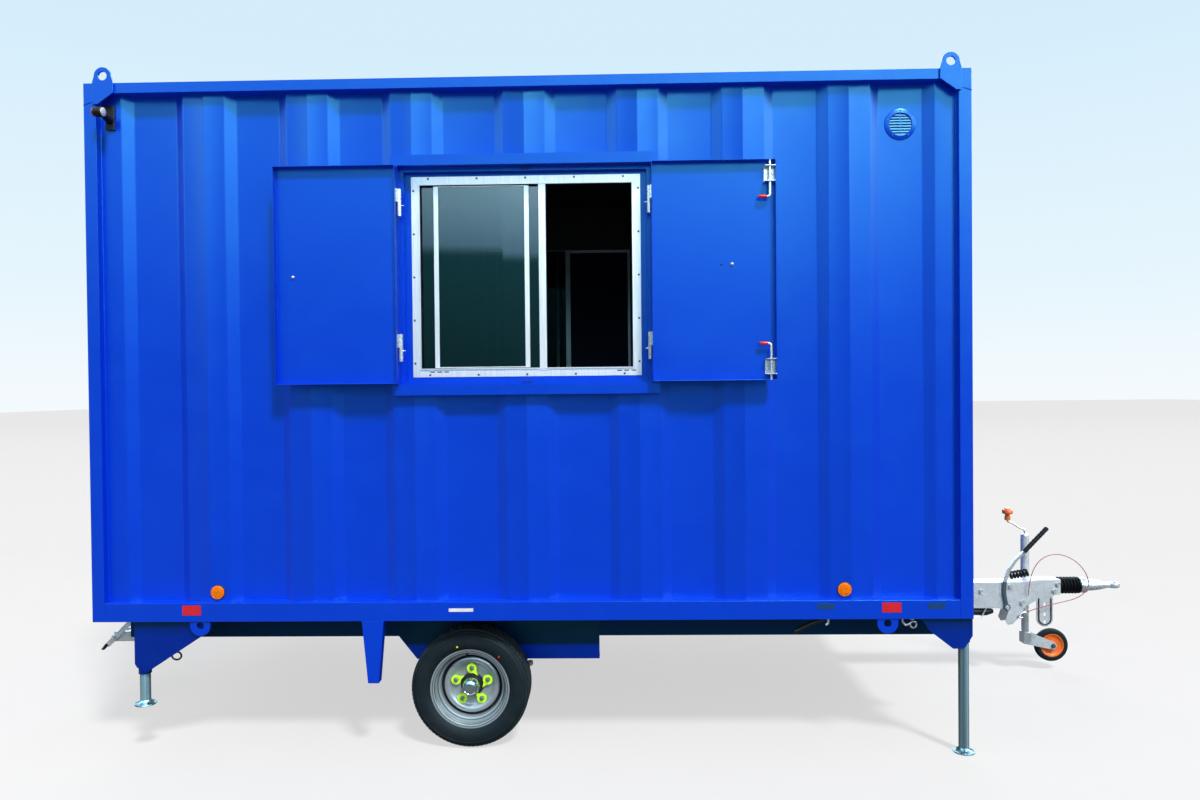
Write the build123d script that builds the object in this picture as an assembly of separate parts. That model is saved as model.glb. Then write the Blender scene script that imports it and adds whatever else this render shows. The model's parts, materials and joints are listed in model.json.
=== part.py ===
"""Towable steel site cabin: corrugated box body on one axle, with an overrun drawbar.

Millimetres. While it is built, X runs from the body's rear end towards the drawbar, Y runs from
the shuttered window side to the other side with 0 midway, and Z is up from the ground.
At the end everything moves so that the origin is at the middle of the whole cabin's footprint.
"""
import math
import os

from build123d import *

# Body
BODY_LENGTH = 4200.0
BODY_WIDTH = 2290.0
BODY_HEIGHT = 2580.0
UNDERSIDE = 650.0
POST_FACE = 60.0
POST_DEPTH = 100.0
TOP_RAIL_HEIGHT = 50.0
BOTTOM_RAIL_HEIGHT = 90.0
TUBE_WALL = 4.0
SEAM_GAP = 0.4

# Pressed wall sheets
SHEET = 2.0
SIDE_SETBACK = 38.0
END_SETBACK = 12.0
PRESSING_DEPTH = 32.0
HALF_FLAT = 100.0
WEB_RUN = 46.0
END_PITCHES = 3
MIDDLE_PITCHES = 2
CROSSWISE_PITCHES = 4
MIDDLE_PITCH = 540.0

# Linings, floor, ceiling and roof
LINING = 12.0
BOARD_GAP = 2.0
FLOOR_THICKNESS = 21.0
CEILING_DROP = 170.0
ROOF_DROP = 12.0
ROOF_PRESSING = 20.0
ROOF_PITCHES = 16

# Window surround, measured from the middle of the window
WINDOW_HALF_WIDTH = 602.0
WINDOW_HALF_HEIGHT = 520.0
WINDOW_TOP_DROP = 414.0
SURROUND_SIDE_FACE = 33.0
SURROUND_TOP_FACE = 50.0
SURROUND_SHEET = 3.0
STOP_DEPTH = 48.0
STOP_LEDGE = 20.0
FRAME_DEPTH = 80.0
REAR_LEDGE_SIDE = 52.0
REAR_LEDGE_TOP = 40.0

# Aluminium sliding window
FRAME_FACE = 40.0
FRAME_SIDE_MARGIN = 49.5
FRAME_TOP_MARGIN = 37.0
FRAME_FLANGE = 3.0
MULLION_WIDTH = 34.0
MULLION_OFFSET = 79.0
SASH_STILE = 22.0
SASH_WIDTH = 461.0
SASH_OFFSET = -447.0
SASH_DEPTH = 12.0
SASH_GAP = 2.0
SASH_CLEARANCE = 0.3
GLASS = 4.0
GLASS_INSET = 6.0

# Security shutters and their hinges
SHUTTER_SHEET = 2.5
SHUTTER_FLANGE = 38.0
SHUTTER_EDGE_GAP = 6.0
SHUTTER_MEETING_GAP = 6.0
SHUTTER_OFFSET = 4.0
HINGE_PROUD = 2.0
HINGE_RADIUS = 10.0
HINGE_SEAT_GAP = 0.3
HINGE_HALF_LENGTH = 64.0
HINGE_LEAF = 6.0
HINGE_LEAF_DEPTH = 26.0
HINGE_PIN_RADIUS = 5.0
HINGE_PIN_CLEARANCE = 0.05
HINGE_THRUST_GAP = 0.5
HINGE_INSET = 170.0

# Shoot bolts of the right-hand shutter
BOLT_RADIUS = 6.0
BOLT_CLEARANCE = 0.1
BOLT_HOUSING_WIDTH = 50.0
BOLT_HOUSING_HEIGHT = 74.0
BOLT_HOUSING_DEPTH = 38.0
BOLT_PLATE = 3.0
BOLT_HOUSING_INSET = 28.0
BOLT_REACH = 170.0
BOLT_HANDLE = 44.0
BOLT_STANDOFF = 26.0
BOLT_EDGE_INSET = 27.0
BOLT_PASSAGE = 14.0
BOLT_SOCKET = 18.0
BOLT_TRAVEL = 30.0

# Vents, reflectors and lamps
VENT_RADIUS = 75.0
VENT_OPENING_RADIUS = 53.0
VENT_FLANGE = 5.0
VENT_DROP = 238.0
VENT_LOUVRES = 4
VENT_LOUVRE_THICKNESS = 3.0
REFLECTOR_RADIUS = 35.0
REFLECTOR_THICKNESS = 11.0
REFLECTOR_RISE = 134.0
REFLECTOR_OFFSET = 35.0
LAMP_BASE_WIDTH = 50.0
LAMP_BASE_HEIGHT = 117.0
LAMP_BASE_THICKNESS = 12.0
LAMP_X = 110.0
LAMP_DROP = 157.0
LAMP_REACH = 86.0
LAMP_RADIUS = 24.0
TAIL_LAMP_WIDTH = 220.0
TAIL_LAMP_HEIGHT = 66.0
TAIL_LAMP_THICKNESS = 32.0

# Lifting eyes and tie-down eyes
LIFTING_EYE_X = 100.0
LIFTING_EYE_WIDTH = 100.0
LIFTING_EYE_RISE = 71.0
LIFTING_EYE_HOLE_RADIUS = 21.0
LIFTING_EYE_HOLE_RISE = 30.0
LIFTING_EYE_THICKNESS = 12.0
LIFTING_EYE_LONG_DROP = 104.0
LIFTING_EYE_SHORT_DROP = 50.0
TIE_EYE_WIDTH = 98.0
TIE_EYE_HOLE_RADIUS = 18.0
TIE_EYE_DROP = 70.0
TIE_EYE_THICKNESS = 12.0
TIE_EYE_SETBACK = 6.0
TIE_EYE_REAR_X = 520.0
TIE_EYE_FRONT_INSET = 400.0

# Rear door
DOOR_WIDTH = 860.0
DOOR_HEIGHT = 1990.0
DOOR_FRAME_WIDTH = 45.0
DOOR_FRAME_DEPTH = 72.0
DOOR_LEAF_THICKNESS = 44.0
DOOR_LEAF_SETBACK = 6.0
DOOR_STOP = 14.0
DOOR_PANEL_RISE = 6.0
DOOR_PANEL_MARGIN = 110.0
DOOR_SKIN = 2.0
DOOR_FRAME_SKIN = 3.0
DOOR_CLEARANCE = 3.0

# Chassis
RAIL_SETIN = 320.0
RAIL_HEIGHT = 164.0
RAIL_FLANGE = 60.0
RAIL_WALL = 5.0
CROSS_MEMBER_HEIGHT = 80.0
CROSS_MEMBER_WIDTH = 50.0
CROSS_MEMBER_COUNT = 7
SIDE_BEAM_BOTTOM = 370.0
SIDE_BEAM_WALL = 6.0
SIDE_BEAM_FLANGE = 70.0
SIDE_BEAM_REAR = 1400.0
SIDE_BEAM_FRONT = 2430.0
SIDE_BEAM_SLOPE = 92.0
STAND_LEG_X = 1355.0
STAND_LEG_TOP_WIDTH = 105.0
STAND_LEG_FOOT_WIDTH = 52.0
STAND_LEG_LENGTH = 298.0
STAND_LEG_WALL = 5.0
STAND_LEG_DEPTH = 50.0

# Leg brackets and prop legs
BRACKET_PLATE = 6.0
REAR_BRACKET_START = 190.0
REAR_BRACKET_END = 547.0
REAR_BRACKET_DROP = 254.0
FRONT_BRACKET_LENGTH = 240.0
FRONT_BRACKET_DROP = 145.0
REAR_BRACKET_SETBACK = 22.0
FRONT_BRACKET_SETBACK = 14.0
SLEEVE_WALL = 5.0
LEG_RADIUS = 24.0
LEG_WALL = 4.0
LEG_CLEARANCE = 0.3
REAR_LEG_X = 222.0
REAR_FOOT_HEIGHT = 235.0
LEG_TRAVEL = 400.0
FRONT_LEG_TOP_MARGIN = 240.0
LEG_TOP_GAP = 6.0
FOOT_RADIUS = 50.0
FOOT_PLATE = 6.0
FOOT_DISH = 22.0

# Rear step
STEP_WIDTH = 600.0
STEP_REACH = 400.0
STEP_DEPTH = 270.0
STEP_TOP = 368.0
STEP_SIDE = 56.0
STEP_PLATE = 4.0
STEP_ARM_WIDTH = 34.0
STEP_ARM_PLATE = 8.0
STEP_TIP_REACH = 462.0
STEP_TIP_HEIGHT = 282.0
STEP_SLOTS_ACROSS = 6
STEP_SLOTS_DEEP = 4

# Wheels
AXLE_X = 1800.0
TYRE_RADIUS = 290.0
TYRE_WIDTH = 182.0
TYRE_SETIN = 80.0
RIM_FLANGE_RADIUS = 195.0
BEAD_RADIUS = 177.0
RIM_WALL = 4.0
RIM_SETIN = 18.0
WHEEL_DISH = 91.0
DISH_GROOVE_RADIUS = 144.0
STUD_CIRCLE_RADIUS = 82.5
STUDS = 5
NUT_RADIUS = 11.0
HUB_RADIUS = 57.0
HUB_CAP_RADIUS = 34.0
STUB_RADIUS = 20.0
STUB_CLEARANCE = 0.05
AXLE_SIZE = 80.0
AXLE_WALL = 6.0
AXLE_PLATE = 10.0

# Drawbar and overrun coupling
POLE_WIDTH = 100.0
POLE_TOP = 573.0
POLE_HEIGHT = 156.0
POLE_START = 3300.0
POLE_END = 4800.0
HOUSING_WALL = 5.0
HOUSING_TOP = 585.0
HOUSING_FRONT = 5158.0
COUPLING_AXIS_Z = 543.0
SHAFT_RADIUS = 25.0
SHAFT_CLEARANCE = 0.1
OVERRUN_TRAVEL = 80.0
BEARING_LENGTH = 70.0
BELLOWS_RADIUS = 43.0
BELLOWS_ROOT_RADIUS = 35.0
BELLOWS_LENGTH = 120.0
BELLOWS_FOLDS = 6
COLLAR_RADIUS = 46.0
COLLAR_LENGTH = 52.0
NECK_RADIUS = 33.0
NECK_LENGTH = 58.0
EYE_X = 5493.0
EYE_RADIUS = 35.0
EYE_HOLE_RADIUS = 20.0
EYE_THICKNESS = 30.0
HANGER_WIDTH = 97.0
HANGER_BOTTOM = 307.0
HANGER_X = 5064.0
HANGER_HOLE_RADIUS = 9.0
LEVER_PIVOT_X = 4838.0
LEVER_PIVOT_Z = 425.0
LEVER_PIN_RADIUS = 8.0
LEVER_THICKNESS = 8.0
LEVER_WIDTH = 24.0
LEVER_GAP = 5.0
LEVER_EYE_RADIUS = 20.0
GRIP_RADIUS = 15.0
GRIP_LENGTH = 200.0
CYLINDER_RADIUS = 23.5
CYLINDER_START = 4100.0
CYLINDER_END = 4780.0
CYLINDER_Z = 388.0
CYLINDER_STRAP = 40.0

# Jockey wheel
JOCKEY_X = 5017.0
JOCKEY_Y = 100.0
JOCKEY_TUBE_RADIUS = 24.0
JOCKEY_TUBE_WALL = 3.0
JOCKEY_TUBE_TOP = 815.0
JOCKEY_TUBE_BOTTOM = 430.0
JOCKEY_CLAMP_WALL = 8.0
JOCKEY_CLAMP_HEIGHT = 80.0
JOCKEY_LIFT = 20.0
JOCKEY_INNER_BOTTOM = 169.0
JOCKEY_INNER_TOP = 660.0
JOCKEY_NUT_HEIGHT = 40.0
JOCKEY_CLEARANCE = 0.1
JOCKEY_TRAIL = 155.0
JOCKEY_AXLE_Z = 155.0
JOCKEY_WHEEL_RADIUS = 100.0
JOCKEY_WHEEL_WIDTH = 44.0
JOCKEY_HUB_RADIUS = 72.0
JOCKEY_PIN_RADIUS = 8.0
JOCKEY_FORK_PLATE = 5.0
JOCKEY_FORK_GAP = 5.0
JOCKEY_CAP_HEIGHT = 24.0
CRANK_ROD_RADIUS = 7.0
CRANK_OFFSET = 104.0
CRANK_RISE = 36.0
KNOB_HEIGHT = 72.0
KNOB_RADIUS = 28.0

# Breakaway cable
CABLE_RADIUS = 2.5
CABLE_Y = -74.0

# Values that follow from the sizes above
HALF_WIDTH = BODY_WIDTH / 2
ROOF_LEVEL = UNDERSIDE + BODY_HEIGHT
WALL_BOTTOM = UNDERSIDE + BOTTOM_RAIL_HEIGHT
WALL_TOP = ROOF_LEVEL - TOP_RAIL_HEIGHT
WINDOW_X = BODY_LENGTH / 2
WINDOW_Z = ROOF_LEVEL - WINDOW_TOP_DROP - WINDOW_HALF_HEIGHT
SURROUND_HALF_WIDTH = WINDOW_HALF_WIDTH + SURROUND_SIDE_FACE
SURROUND_HALF_HEIGHT = WINDOW_HALF_HEIGHT + SURROUND_TOP_FACE
SIDE_PITCH = (BODY_LENGTH - 2 * POST_FACE - MIDDLE_PITCHES * MIDDLE_PITCH) / (2 * END_PITCHES)
SURROUND_DEPTH = POST_DEPTH + LINING
CEILING_LEVEL = ROOF_LEVEL - CEILING_DROP
FRAME_HALF_WIDTH = WINDOW_HALF_WIDTH - FRAME_SIDE_MARGIN
FRAME_HALF_HEIGHT = WINDOW_HALF_HEIGHT - FRAME_TOP_MARGIN
REAR_HALF_WIDTH = WINDOW_HALF_WIDTH - STOP_LEDGE - REAR_LEDGE_SIDE
REAR_HALF_HEIGHT = WINDOW_HALF_HEIGHT - STOP_LEDGE - REAR_LEDGE_TOP
PANE_HALF_WIDTH = FRAME_HALF_WIDTH - FRAME_FACE
PANE_HALF_HEIGHT = FRAME_HALF_HEIGHT - FRAME_FACE
HINGE_OFFSET = WINDOW_HALF_WIDTH - HINGE_RADIUS - HINGE_SEAT_GAP
HINGE_Y = -HALF_WIDTH - HINGE_PROUD
SHUTTER_EDGE = HINGE_RADIUS + HINGE_THRUST_GAP
SHUTTER_WIDTH = HINGE_OFFSET - SHUTTER_EDGE - SHUTTER_MEETING_GAP / 2
SHUTTER_HALF_HEIGHT = WINDOW_HALF_HEIGHT - SHUTTER_EDGE_GAP
RAIL_Y = HALF_WIDTH - RAIL_SETIN
RAIL_BOTTOM = UNDERSIDE - RAIL_HEIGHT
AXLE_Z = TYRE_RADIUS
FRONT_LEG_X = BODY_LENGTH - POST_FACE / 2
FRONT_LEG_Y = HALF_WIDTH - POST_DEPTH / 2
REAR_SLEEVE_RADIUS = LEG_RADIUS + LEG_CLEARANCE + SLEEVE_WALL
REAR_LEG_Y = HALF_WIDTH - REAR_BRACKET_SETBACK - BRACKET_PLATE - REAR_SLEEVE_RADIUS + 1.0
LEVER_Y = -(POLE_WIDTH / 2 + LEVER_GAP + LEVER_THICKNESS / 2)


def block(x0, x1, y0, y1, z0, z1):
    """A block between two opposite corners."""
    middle = Pos((x0 + x1) / 2, (y0 + y1) / 2, (z0 + z1) / 2)
    return middle * Box(abs(x1 - x0), abs(y1 - y0), abs(z1 - z0))


def rod(radius, start, end):
    """A round bar between two points."""
    axis = Vector(*end) - Vector(*start)
    plane = Plane(origin=start, z_dir=axis)
    return extrude(plane * Circle(radius), axis.length)


def side_plate(points, y0, y1):
    """An outline given in X and Z, made into a plate between two values of Y."""
    outline = make_face(Polyline(*[(x, 0, z) for x, z in points], close=True))
    return Pos(0, y0, 0) * extrude(outline, y1 - y0, dir=(0, 1, 0))


def across(shape):
    """The same piece on the other side of the cabin."""
    return mirror(shape, Plane.XZ)


def several(shapes):
    """Separate solids kept in one node."""
    return Compound([solid for shape in shapes for solid in shape.solids()])


def on_both_sides(shape):
    """A piece and its twin on the other side, as separate solids."""
    return several([shape, across(shape)])


def box_tube(x0, x1, y0, y1, z0, z1, wall, along):
    """A rectangular hollow section, open at both ends, that runs along X, Y or Z."""
    outer = block(x0, x1, y0, y1, z0, z1)
    inset = {"X": (0, wall, wall), "Y": (wall, 0, wall), "Z": (wall, wall, 0)}[along]
    bore = block(x0 + inset[0], x1 - inset[0], y0 + inset[1], y1 - inset[1], z0 + inset[2], z1 - inset[2])
    return outer - bore


def pressed_outline(pitches, depth, half_flat, web):
    """The line of a pressed sheet seen from above: outer flats, sloping webs and sunk pans."""
    points = [(0.0, 0.0)]
    start = 0.0
    for pitch in pitches:
        points.append((start + half_flat, 0.0))
        points.append((start + half_flat + web, depth))
        points.append((start + pitch - half_flat - web, depth))
        points.append((start + pitch - half_flat, 0.0))
        start = start + pitch
    points.append((start, 0.0))
    return points


def pressed_sheet(pitches, depth, half_flat, web, thickness, height):
    """A pressed sheet that runs along X from 0 with its outer flats at Y 0, and rises along Z."""
    outer = pressed_outline(pitches, depth, half_flat, web)
    inner = [(x, y + thickness) for x, y in reversed(outer)]
    return extrude(make_face(Polyline(*outer, *inner, close=True)), height)


def corner_posts():
    """Four hollow posts, as high as the body and closed at the top."""
    near = -HALF_WIDTH
    rear = box_tube(0, POST_FACE, near, near + POST_DEPTH, UNDERSIDE, ROOF_LEVEL, TUBE_WALL, "Z")
    wall = TUBE_WALL
    rear = rear + block(wall / 2, POST_FACE - wall / 2, near + wall / 2, near + POST_DEPTH - wall / 2,
                        ROOF_LEVEL - wall, ROOF_LEVEL)
    front = Pos(BODY_LENGTH - POST_FACE, 0, 0) * rear
    return several([rear, front, across(rear), across(front)])


def rails(low, high, end_wall):
    """Two side rails and two end rails between the posts, at one level."""
    near = -HALF_WIDTH
    side = box_tube(POST_FACE, BODY_LENGTH - POST_FACE, near, near + POST_DEPTH, low, high, end_wall, "X")
    reach = HALF_WIDTH - POST_DEPTH
    rear = box_tube(0, POST_FACE - SEAM_GAP, -reach, reach, low, high, end_wall, "Y")
    front = Pos(BODY_LENGTH, 0, 0) * mirror(rear, Plane.YZ)
    return several([side, across(side), rear, front])


def lifting_eye():
    """A plate on the near face of the rear top corner, with a rounded head and a shackle hole."""
    left = LIFTING_EYE_X - LIFTING_EYE_WIDTH / 2
    right = LIFTING_EYE_X + LIFTING_EYE_WIDTH / 2
    head = LIFTING_EYE_RISE - LIFTING_EYE_HOLE_RISE
    y0 = -HALF_WIDTH - LIFTING_EYE_THICKNESS
    foot = [
        (left, ROOF_LEVEL),
        (left, ROOF_LEVEL - LIFTING_EYE_LONG_DROP),
        (left + 25, ROOF_LEVEL - LIFTING_EYE_LONG_DROP),
        (right, ROOF_LEVEL - LIFTING_EYE_SHORT_DROP),
        (right, ROOF_LEVEL),
        (LIFTING_EYE_X + head, ROOF_LEVEL + LIFTING_EYE_HOLE_RISE),
        (LIFTING_EYE_X - head, ROOF_LEVEL + LIFTING_EYE_HOLE_RISE),
    ]
    plate = side_plate(foot, y0, -HALF_WIDTH)
    centre = (LIFTING_EYE_X, ROOF_LEVEL + LIFTING_EYE_HOLE_RISE)
    crown = rod(head, (centre[0], y0, centre[1]), (centre[0], -HALF_WIDTH, centre[1]))
    hole = rod(LIFTING_EYE_HOLE_RADIUS, (centre[0], y0 - 1, centre[1]), (centre[0], -HALF_WIDTH + 1, centre[1]))
    return plate + crown - hole


def lifting_eyes():
    """Four lifting eyes, one at each top corner."""
    rear = lifting_eye()
    front = Pos(BODY_LENGTH, 0, 0) * mirror(rear, Plane.YZ)
    return several([rear, front, across(rear), across(front)])


def side_wall():
    """The pressed near wall in four pieces round the window surround."""
    pitches = [SIDE_PITCH] * END_PITCHES + [MIDDLE_PITCH] * MIDDLE_PITCHES + [SIDE_PITCH] * END_PITCHES
    sheet = pressed_sheet(pitches, PRESSING_DEPTH, HALF_FLAT, WEB_RUN, SHEET, WALL_TOP - WALL_BOTTOM)
    sheet = Pos(POST_FACE, -HALF_WIDTH + SIDE_SETBACK, WALL_BOTTOM) * sheet
    y0 = -HALF_WIDTH
    y1 = y0 + POST_DEPTH
    left = WINDOW_X - SURROUND_HALF_WIDTH
    right = WINDOW_X + SURROUND_HALF_WIDTH
    below = WINDOW_Z - SURROUND_HALF_HEIGHT
    above = WINDOW_Z + SURROUND_HALF_HEIGHT
    return [
        sheet & block(POST_FACE, left, y0, y1, WALL_BOTTOM, WALL_TOP),
        sheet & block(right, BODY_LENGTH - POST_FACE, y0, y1, WALL_BOTTOM, WALL_TOP),
        sheet & block(left + SEAM_GAP, right - SEAM_GAP, y0, y1, above, WALL_TOP),
        sheet & block(left + SEAM_GAP, right - SEAM_GAP, y0, y1, WALL_BOTTOM, below),
    ]


def end_sheet():
    """A pressed end wall, its outer flats facing the rear, just inside the rear end's plane."""
    width = BODY_WIDTH - 2 * POST_DEPTH
    pitches = [width / CROSSWISE_PITCHES] * CROSSWISE_PITCHES
    sheet = pressed_sheet(pitches, PRESSING_DEPTH, HALF_FLAT, WEB_RUN, SHEET, WALL_TOP - WALL_BOTTOM)
    turned = mirror(Rot(0, 0, 90) * sheet, Plane.YZ)
    return Pos(END_SETBACK, -width / 2, WALL_BOTTOM) * turned


def front_wall():
    """The plain pressed wall at the drawbar end."""
    return Pos(BODY_LENGTH, 0, 0) * mirror(end_sheet(), Plane.YZ)


def rear_wall():
    """The pressed wall at the step end, cut out for the door frame."""
    half = DOOR_WIDTH / 2 + DOOR_FRAME_WIDTH
    top = WALL_BOTTOM + DOOR_HEIGHT + DOOR_FRAME_WIDTH
    return end_sheet() - block(-1, POST_FACE + 1, -half, half, WALL_BOTTOM - 1, top)


def rear_door_frame():
    """A hollow steel door frame with a stop for the leaf."""
    half = DOOR_WIDTH / 2
    top = WALL_BOTTOM + DOOR_HEIGHT
    outer = block(0, DOOR_FRAME_DEPTH, -half - DOOR_FRAME_WIDTH, half + DOOR_FRAME_WIDTH, WALL_BOTTOM,
                  top + DOOR_FRAME_WIDTH)
    leaf_space = block(-1, DOOR_LEAF_SETBACK + DOOR_LEAF_THICKNESS, -half, half, WALL_BOTTOM - 1, top)
    passage = block(-1, DOOR_FRAME_DEPTH + 1, -half + DOOR_STOP, half - DOOR_STOP, WALL_BOTTOM - 1, top - DOOR_STOP)
    skin = DOOR_FRAME_SKIN
    reach = half + DOOR_FRAME_WIDTH - skin
    hollow = block(skin, DOOR_FRAME_DEPTH - skin, -reach, reach, WALL_BOTTOM - 1, top + DOOR_FRAME_WIDTH - skin)
    kept = block(0, DOOR_FRAME_DEPTH, -half - skin, half + skin, WALL_BOTTOM - 1, top + skin)
    return outer - leaf_space - passage - (hollow - kept)


def rear_door():
    """A hollow steel door leaf, a raised rim round a flat panel, open along its bottom edge."""
    clearance = DOOR_CLEARANCE
    half = DOOR_WIDTH / 2 - clearance
    low = WALL_BOTTOM + clearance
    high = WALL_BOTTOM + DOOR_HEIGHT - clearance
    x0 = DOOR_LEAF_SETBACK
    leaf = block(x0, x0 + DOOR_LEAF_THICKNESS, -half, half, low, high)
    margin = DOOR_PANEL_MARGIN
    panel = block(x0 - 1, x0 + DOOR_PANEL_RISE, -half + margin, half - margin, low + margin, high - margin)
    skin = DOOR_SKIN
    hollow = block(x0 + skin, x0 + DOOR_LEAF_THICKNESS - skin, -half + skin, half - skin, low - 1, high - skin)
    edge = margin - skin
    tray = block(x0, x0 + DOOR_PANEL_RISE + skin, -half + edge, half - edge, low + edge, high - edge)
    return leaf - panel - (hollow - tray)


def roof_sheet():
    """A pressed roof sheet, laid between the top rails."""
    length = BODY_LENGTH - 2 * POST_FACE
    width = BODY_WIDTH - 2 * POST_DEPTH
    pitch = length / ROOF_PITCHES
    sheet = pressed_sheet([pitch] * ROOF_PITCHES, ROOF_PRESSING, pitch * 0.3, pitch * 0.1, SHEET, width)
    laid = Rot(-90, 0, 0) * sheet
    return Pos(POST_FACE, -width / 2, ROOF_LEVEL - ROOF_DROP) * laid


def floor_deck():
    """The floor board, between the bottom rails and flush with their tops."""
    reach = HALF_WIDTH - POST_DEPTH
    return block(POST_FACE, BODY_LENGTH - POST_FACE, -reach, reach, WALL_BOTTOM - FLOOR_THICKNESS, WALL_BOTTOM)


def ceiling():
    """The ceiling board, inside the wall linings."""
    reach = HALF_WIDTH - POST_DEPTH
    return block(POST_FACE, BODY_LENGTH - POST_FACE, -reach, reach, CEILING_LEVEL, CEILING_LEVEL + LINING)


def lining_boards():
    """The inner lining as flat boards that stand on the floor, with small joints between them."""
    inner = HALF_WIDTH - POST_DEPTH
    y0 = -inner
    y1 = -inner + LINING
    left = WINDOW_X - REAR_HALF_WIDTH - SURROUND_SHEET
    right = WINDOW_X + REAR_HALF_WIDTH + SURROUND_SHEET
    below = WINDOW_Z - REAR_HALF_HEIGHT - SURROUND_SHEET
    above = WINDOW_Z + REAR_HALF_HEIGHT + SURROUND_SHEET
    floor = WALL_BOTTOM
    top = CEILING_LEVEL
    ends = POST_FACE + LINING + BOARD_GAP
    near = [
        block(ends, left, y0, y1, floor, top),
        block(right, BODY_LENGTH - ends, y0, y1, floor, top),
        block(left + BOARD_GAP, right - BOARD_GAP, y0, y1, above, top),
        block(left + BOARD_GAP, right - BOARD_GAP, y0, y1, floor, below),
    ]
    far = [across(board) for board in near]
    door = DOOR_WIDTH / 2 + DOOR_FRAME_WIDTH
    door_top = floor + DOOR_HEIGHT + DOOR_FRAME_WIDTH
    rear_side = block(POST_FACE, POST_FACE + LINING, -inner, -door, floor, top)
    rear_over = block(POST_FACE, POST_FACE + LINING, -door + BOARD_GAP, door - BOARD_GAP, door_top, top)
    front_x = BODY_LENGTH - POST_FACE
    front = block(front_x - LINING, front_x, -inner, inner, floor, top)
    return several(near + far + [rear_side, across(rear_side), rear_over, front])


def window_ring(outer_w, outer_h, inner_w, inner_h, depth0, depth1):
    """A rectangular ring round the near window's middle, between two depths behind the face."""
    y0 = -HALF_WIDTH + depth0
    y1 = -HALF_WIDTH + depth1
    outer = block(WINDOW_X - outer_w, WINDOW_X + outer_w, y0, y1, WINDOW_Z - outer_h, WINDOW_Z + outer_h)
    inner = block(WINDOW_X - inner_w, WINDOW_X + inner_w, y0 - 1, y1 + 1, WINDOW_Z - inner_h, WINDOW_Z + inner_h)
    return outer - inner


def window_surround():
    """The folded steel box round the window: face, jamb, shutter stop, jamb, rear ledge, reveal."""
    t = SURROUND_SHEET
    w = WINDOW_HALF_WIDTH
    h = WINDOW_HALF_HEIGHT
    stop_w = w - STOP_LEDGE
    stop_h = h - STOP_LEDGE
    skirt = SIDE_SETBACK + PRESSING_DEPTH + SHEET + t
    rings = [
        (SURROUND_HALF_WIDTH, SURROUND_HALF_HEIGHT, SURROUND_HALF_WIDTH - t, SURROUND_HALF_HEIGHT - t, 0, skirt),
        (SURROUND_HALF_WIDTH, SURROUND_HALF_HEIGHT, w, h, 0, t),
        (w + t, h + t, w, h, 0, STOP_DEPTH + t),
        (w + t, h + t, stop_w, stop_h, STOP_DEPTH, STOP_DEPTH + t),
        (stop_w + t, stop_h + t, stop_w, stop_h, STOP_DEPTH, FRAME_DEPTH + t),
        (stop_w + t, stop_h + t, REAR_HALF_WIDTH, REAR_HALF_HEIGHT, FRAME_DEPTH, FRAME_DEPTH + t),
        (REAR_HALF_WIDTH + t, REAR_HALF_HEIGHT + t, REAR_HALF_WIDTH, REAR_HALF_HEIGHT, FRAME_DEPTH, SURROUND_DEPTH),
    ]
    body = window_ring(*rings[0])
    for ring in rings[1:]:
        body = body + window_ring(*ring)
    x, y = closed_bolt_line()
    reach = SURROUND_HALF_HEIGHT - SURROUND_SHEET - 1
    sockets = rod(BOLT_SOCKET / 2, (x, y, WINDOW_Z - reach), (x, y, WINDOW_Z + reach))
    return body - sockets


def window_frame():
    """The aluminium frame: a face flange on the ledge, a track box in the opening, and a mullion."""
    face = window_ring(FRAME_HALF_WIDTH, FRAME_HALF_HEIGHT, PANE_HALF_WIDTH, PANE_HALF_HEIGHT,
                       FRAME_DEPTH - FRAME_FLANGE, FRAME_DEPTH)
    track_w = REAR_HALF_WIDTH - SASH_CLEARANCE
    track_h = REAR_HALF_HEIGHT - SASH_CLEARANCE
    wall = FRAME_FLANGE
    track = window_ring(track_w, track_h, track_w - wall, track_h - wall, FRAME_DEPTH, SURROUND_DEPTH)
    bead = window_ring(track_w, track_h, PANE_HALF_WIDTH, PANE_HALF_HEIGHT, FRAME_DEPTH, FRAME_DEPTH + wall)
    x = WINDOW_X + MULLION_OFFSET
    y = -HALF_WIDTH + FRAME_DEPTH
    z_reach = track_h - wall
    mullion = block(x - MULLION_WIDTH / 2, x + MULLION_WIDTH / 2, y - wall, -HALF_WIDTH + pane_depth() + GLASS,
                    WINDOW_Z - z_reach, WINDOW_Z + z_reach)
    return face + track + bead + mullion


def sash_depth():
    """How far behind the face the sliding sash starts."""
    return FRAME_DEPTH + FRAME_FLANGE + SASH_GAP


def pane_depth():
    """How far behind the face the fixed pane starts, behind the sash."""
    return sash_depth() + SASH_DEPTH + SASH_GAP


def window_sash():
    """The sliding sash, pushed open in front of the fixed pane, seated between the track's rails."""
    x0 = WINDOW_X + SASH_OFFSET
    x1 = x0 + SASH_WIDTH
    y0 = -HALF_WIDTH + sash_depth()
    y1 = y0 + SASH_DEPTH
    reach = REAR_HALF_HEIGHT - SASH_CLEARANCE - FRAME_FLANGE
    outer = block(x0, x1, y0, y1, WINDOW_Z - reach, WINDOW_Z + reach)
    stile = SASH_STILE
    hole = block(x0 + stile, x1 - stile, y0 - 1, y1 + 1, WINDOW_Z - reach + stile, WINDOW_Z + reach - stile)
    return outer - hole


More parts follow.
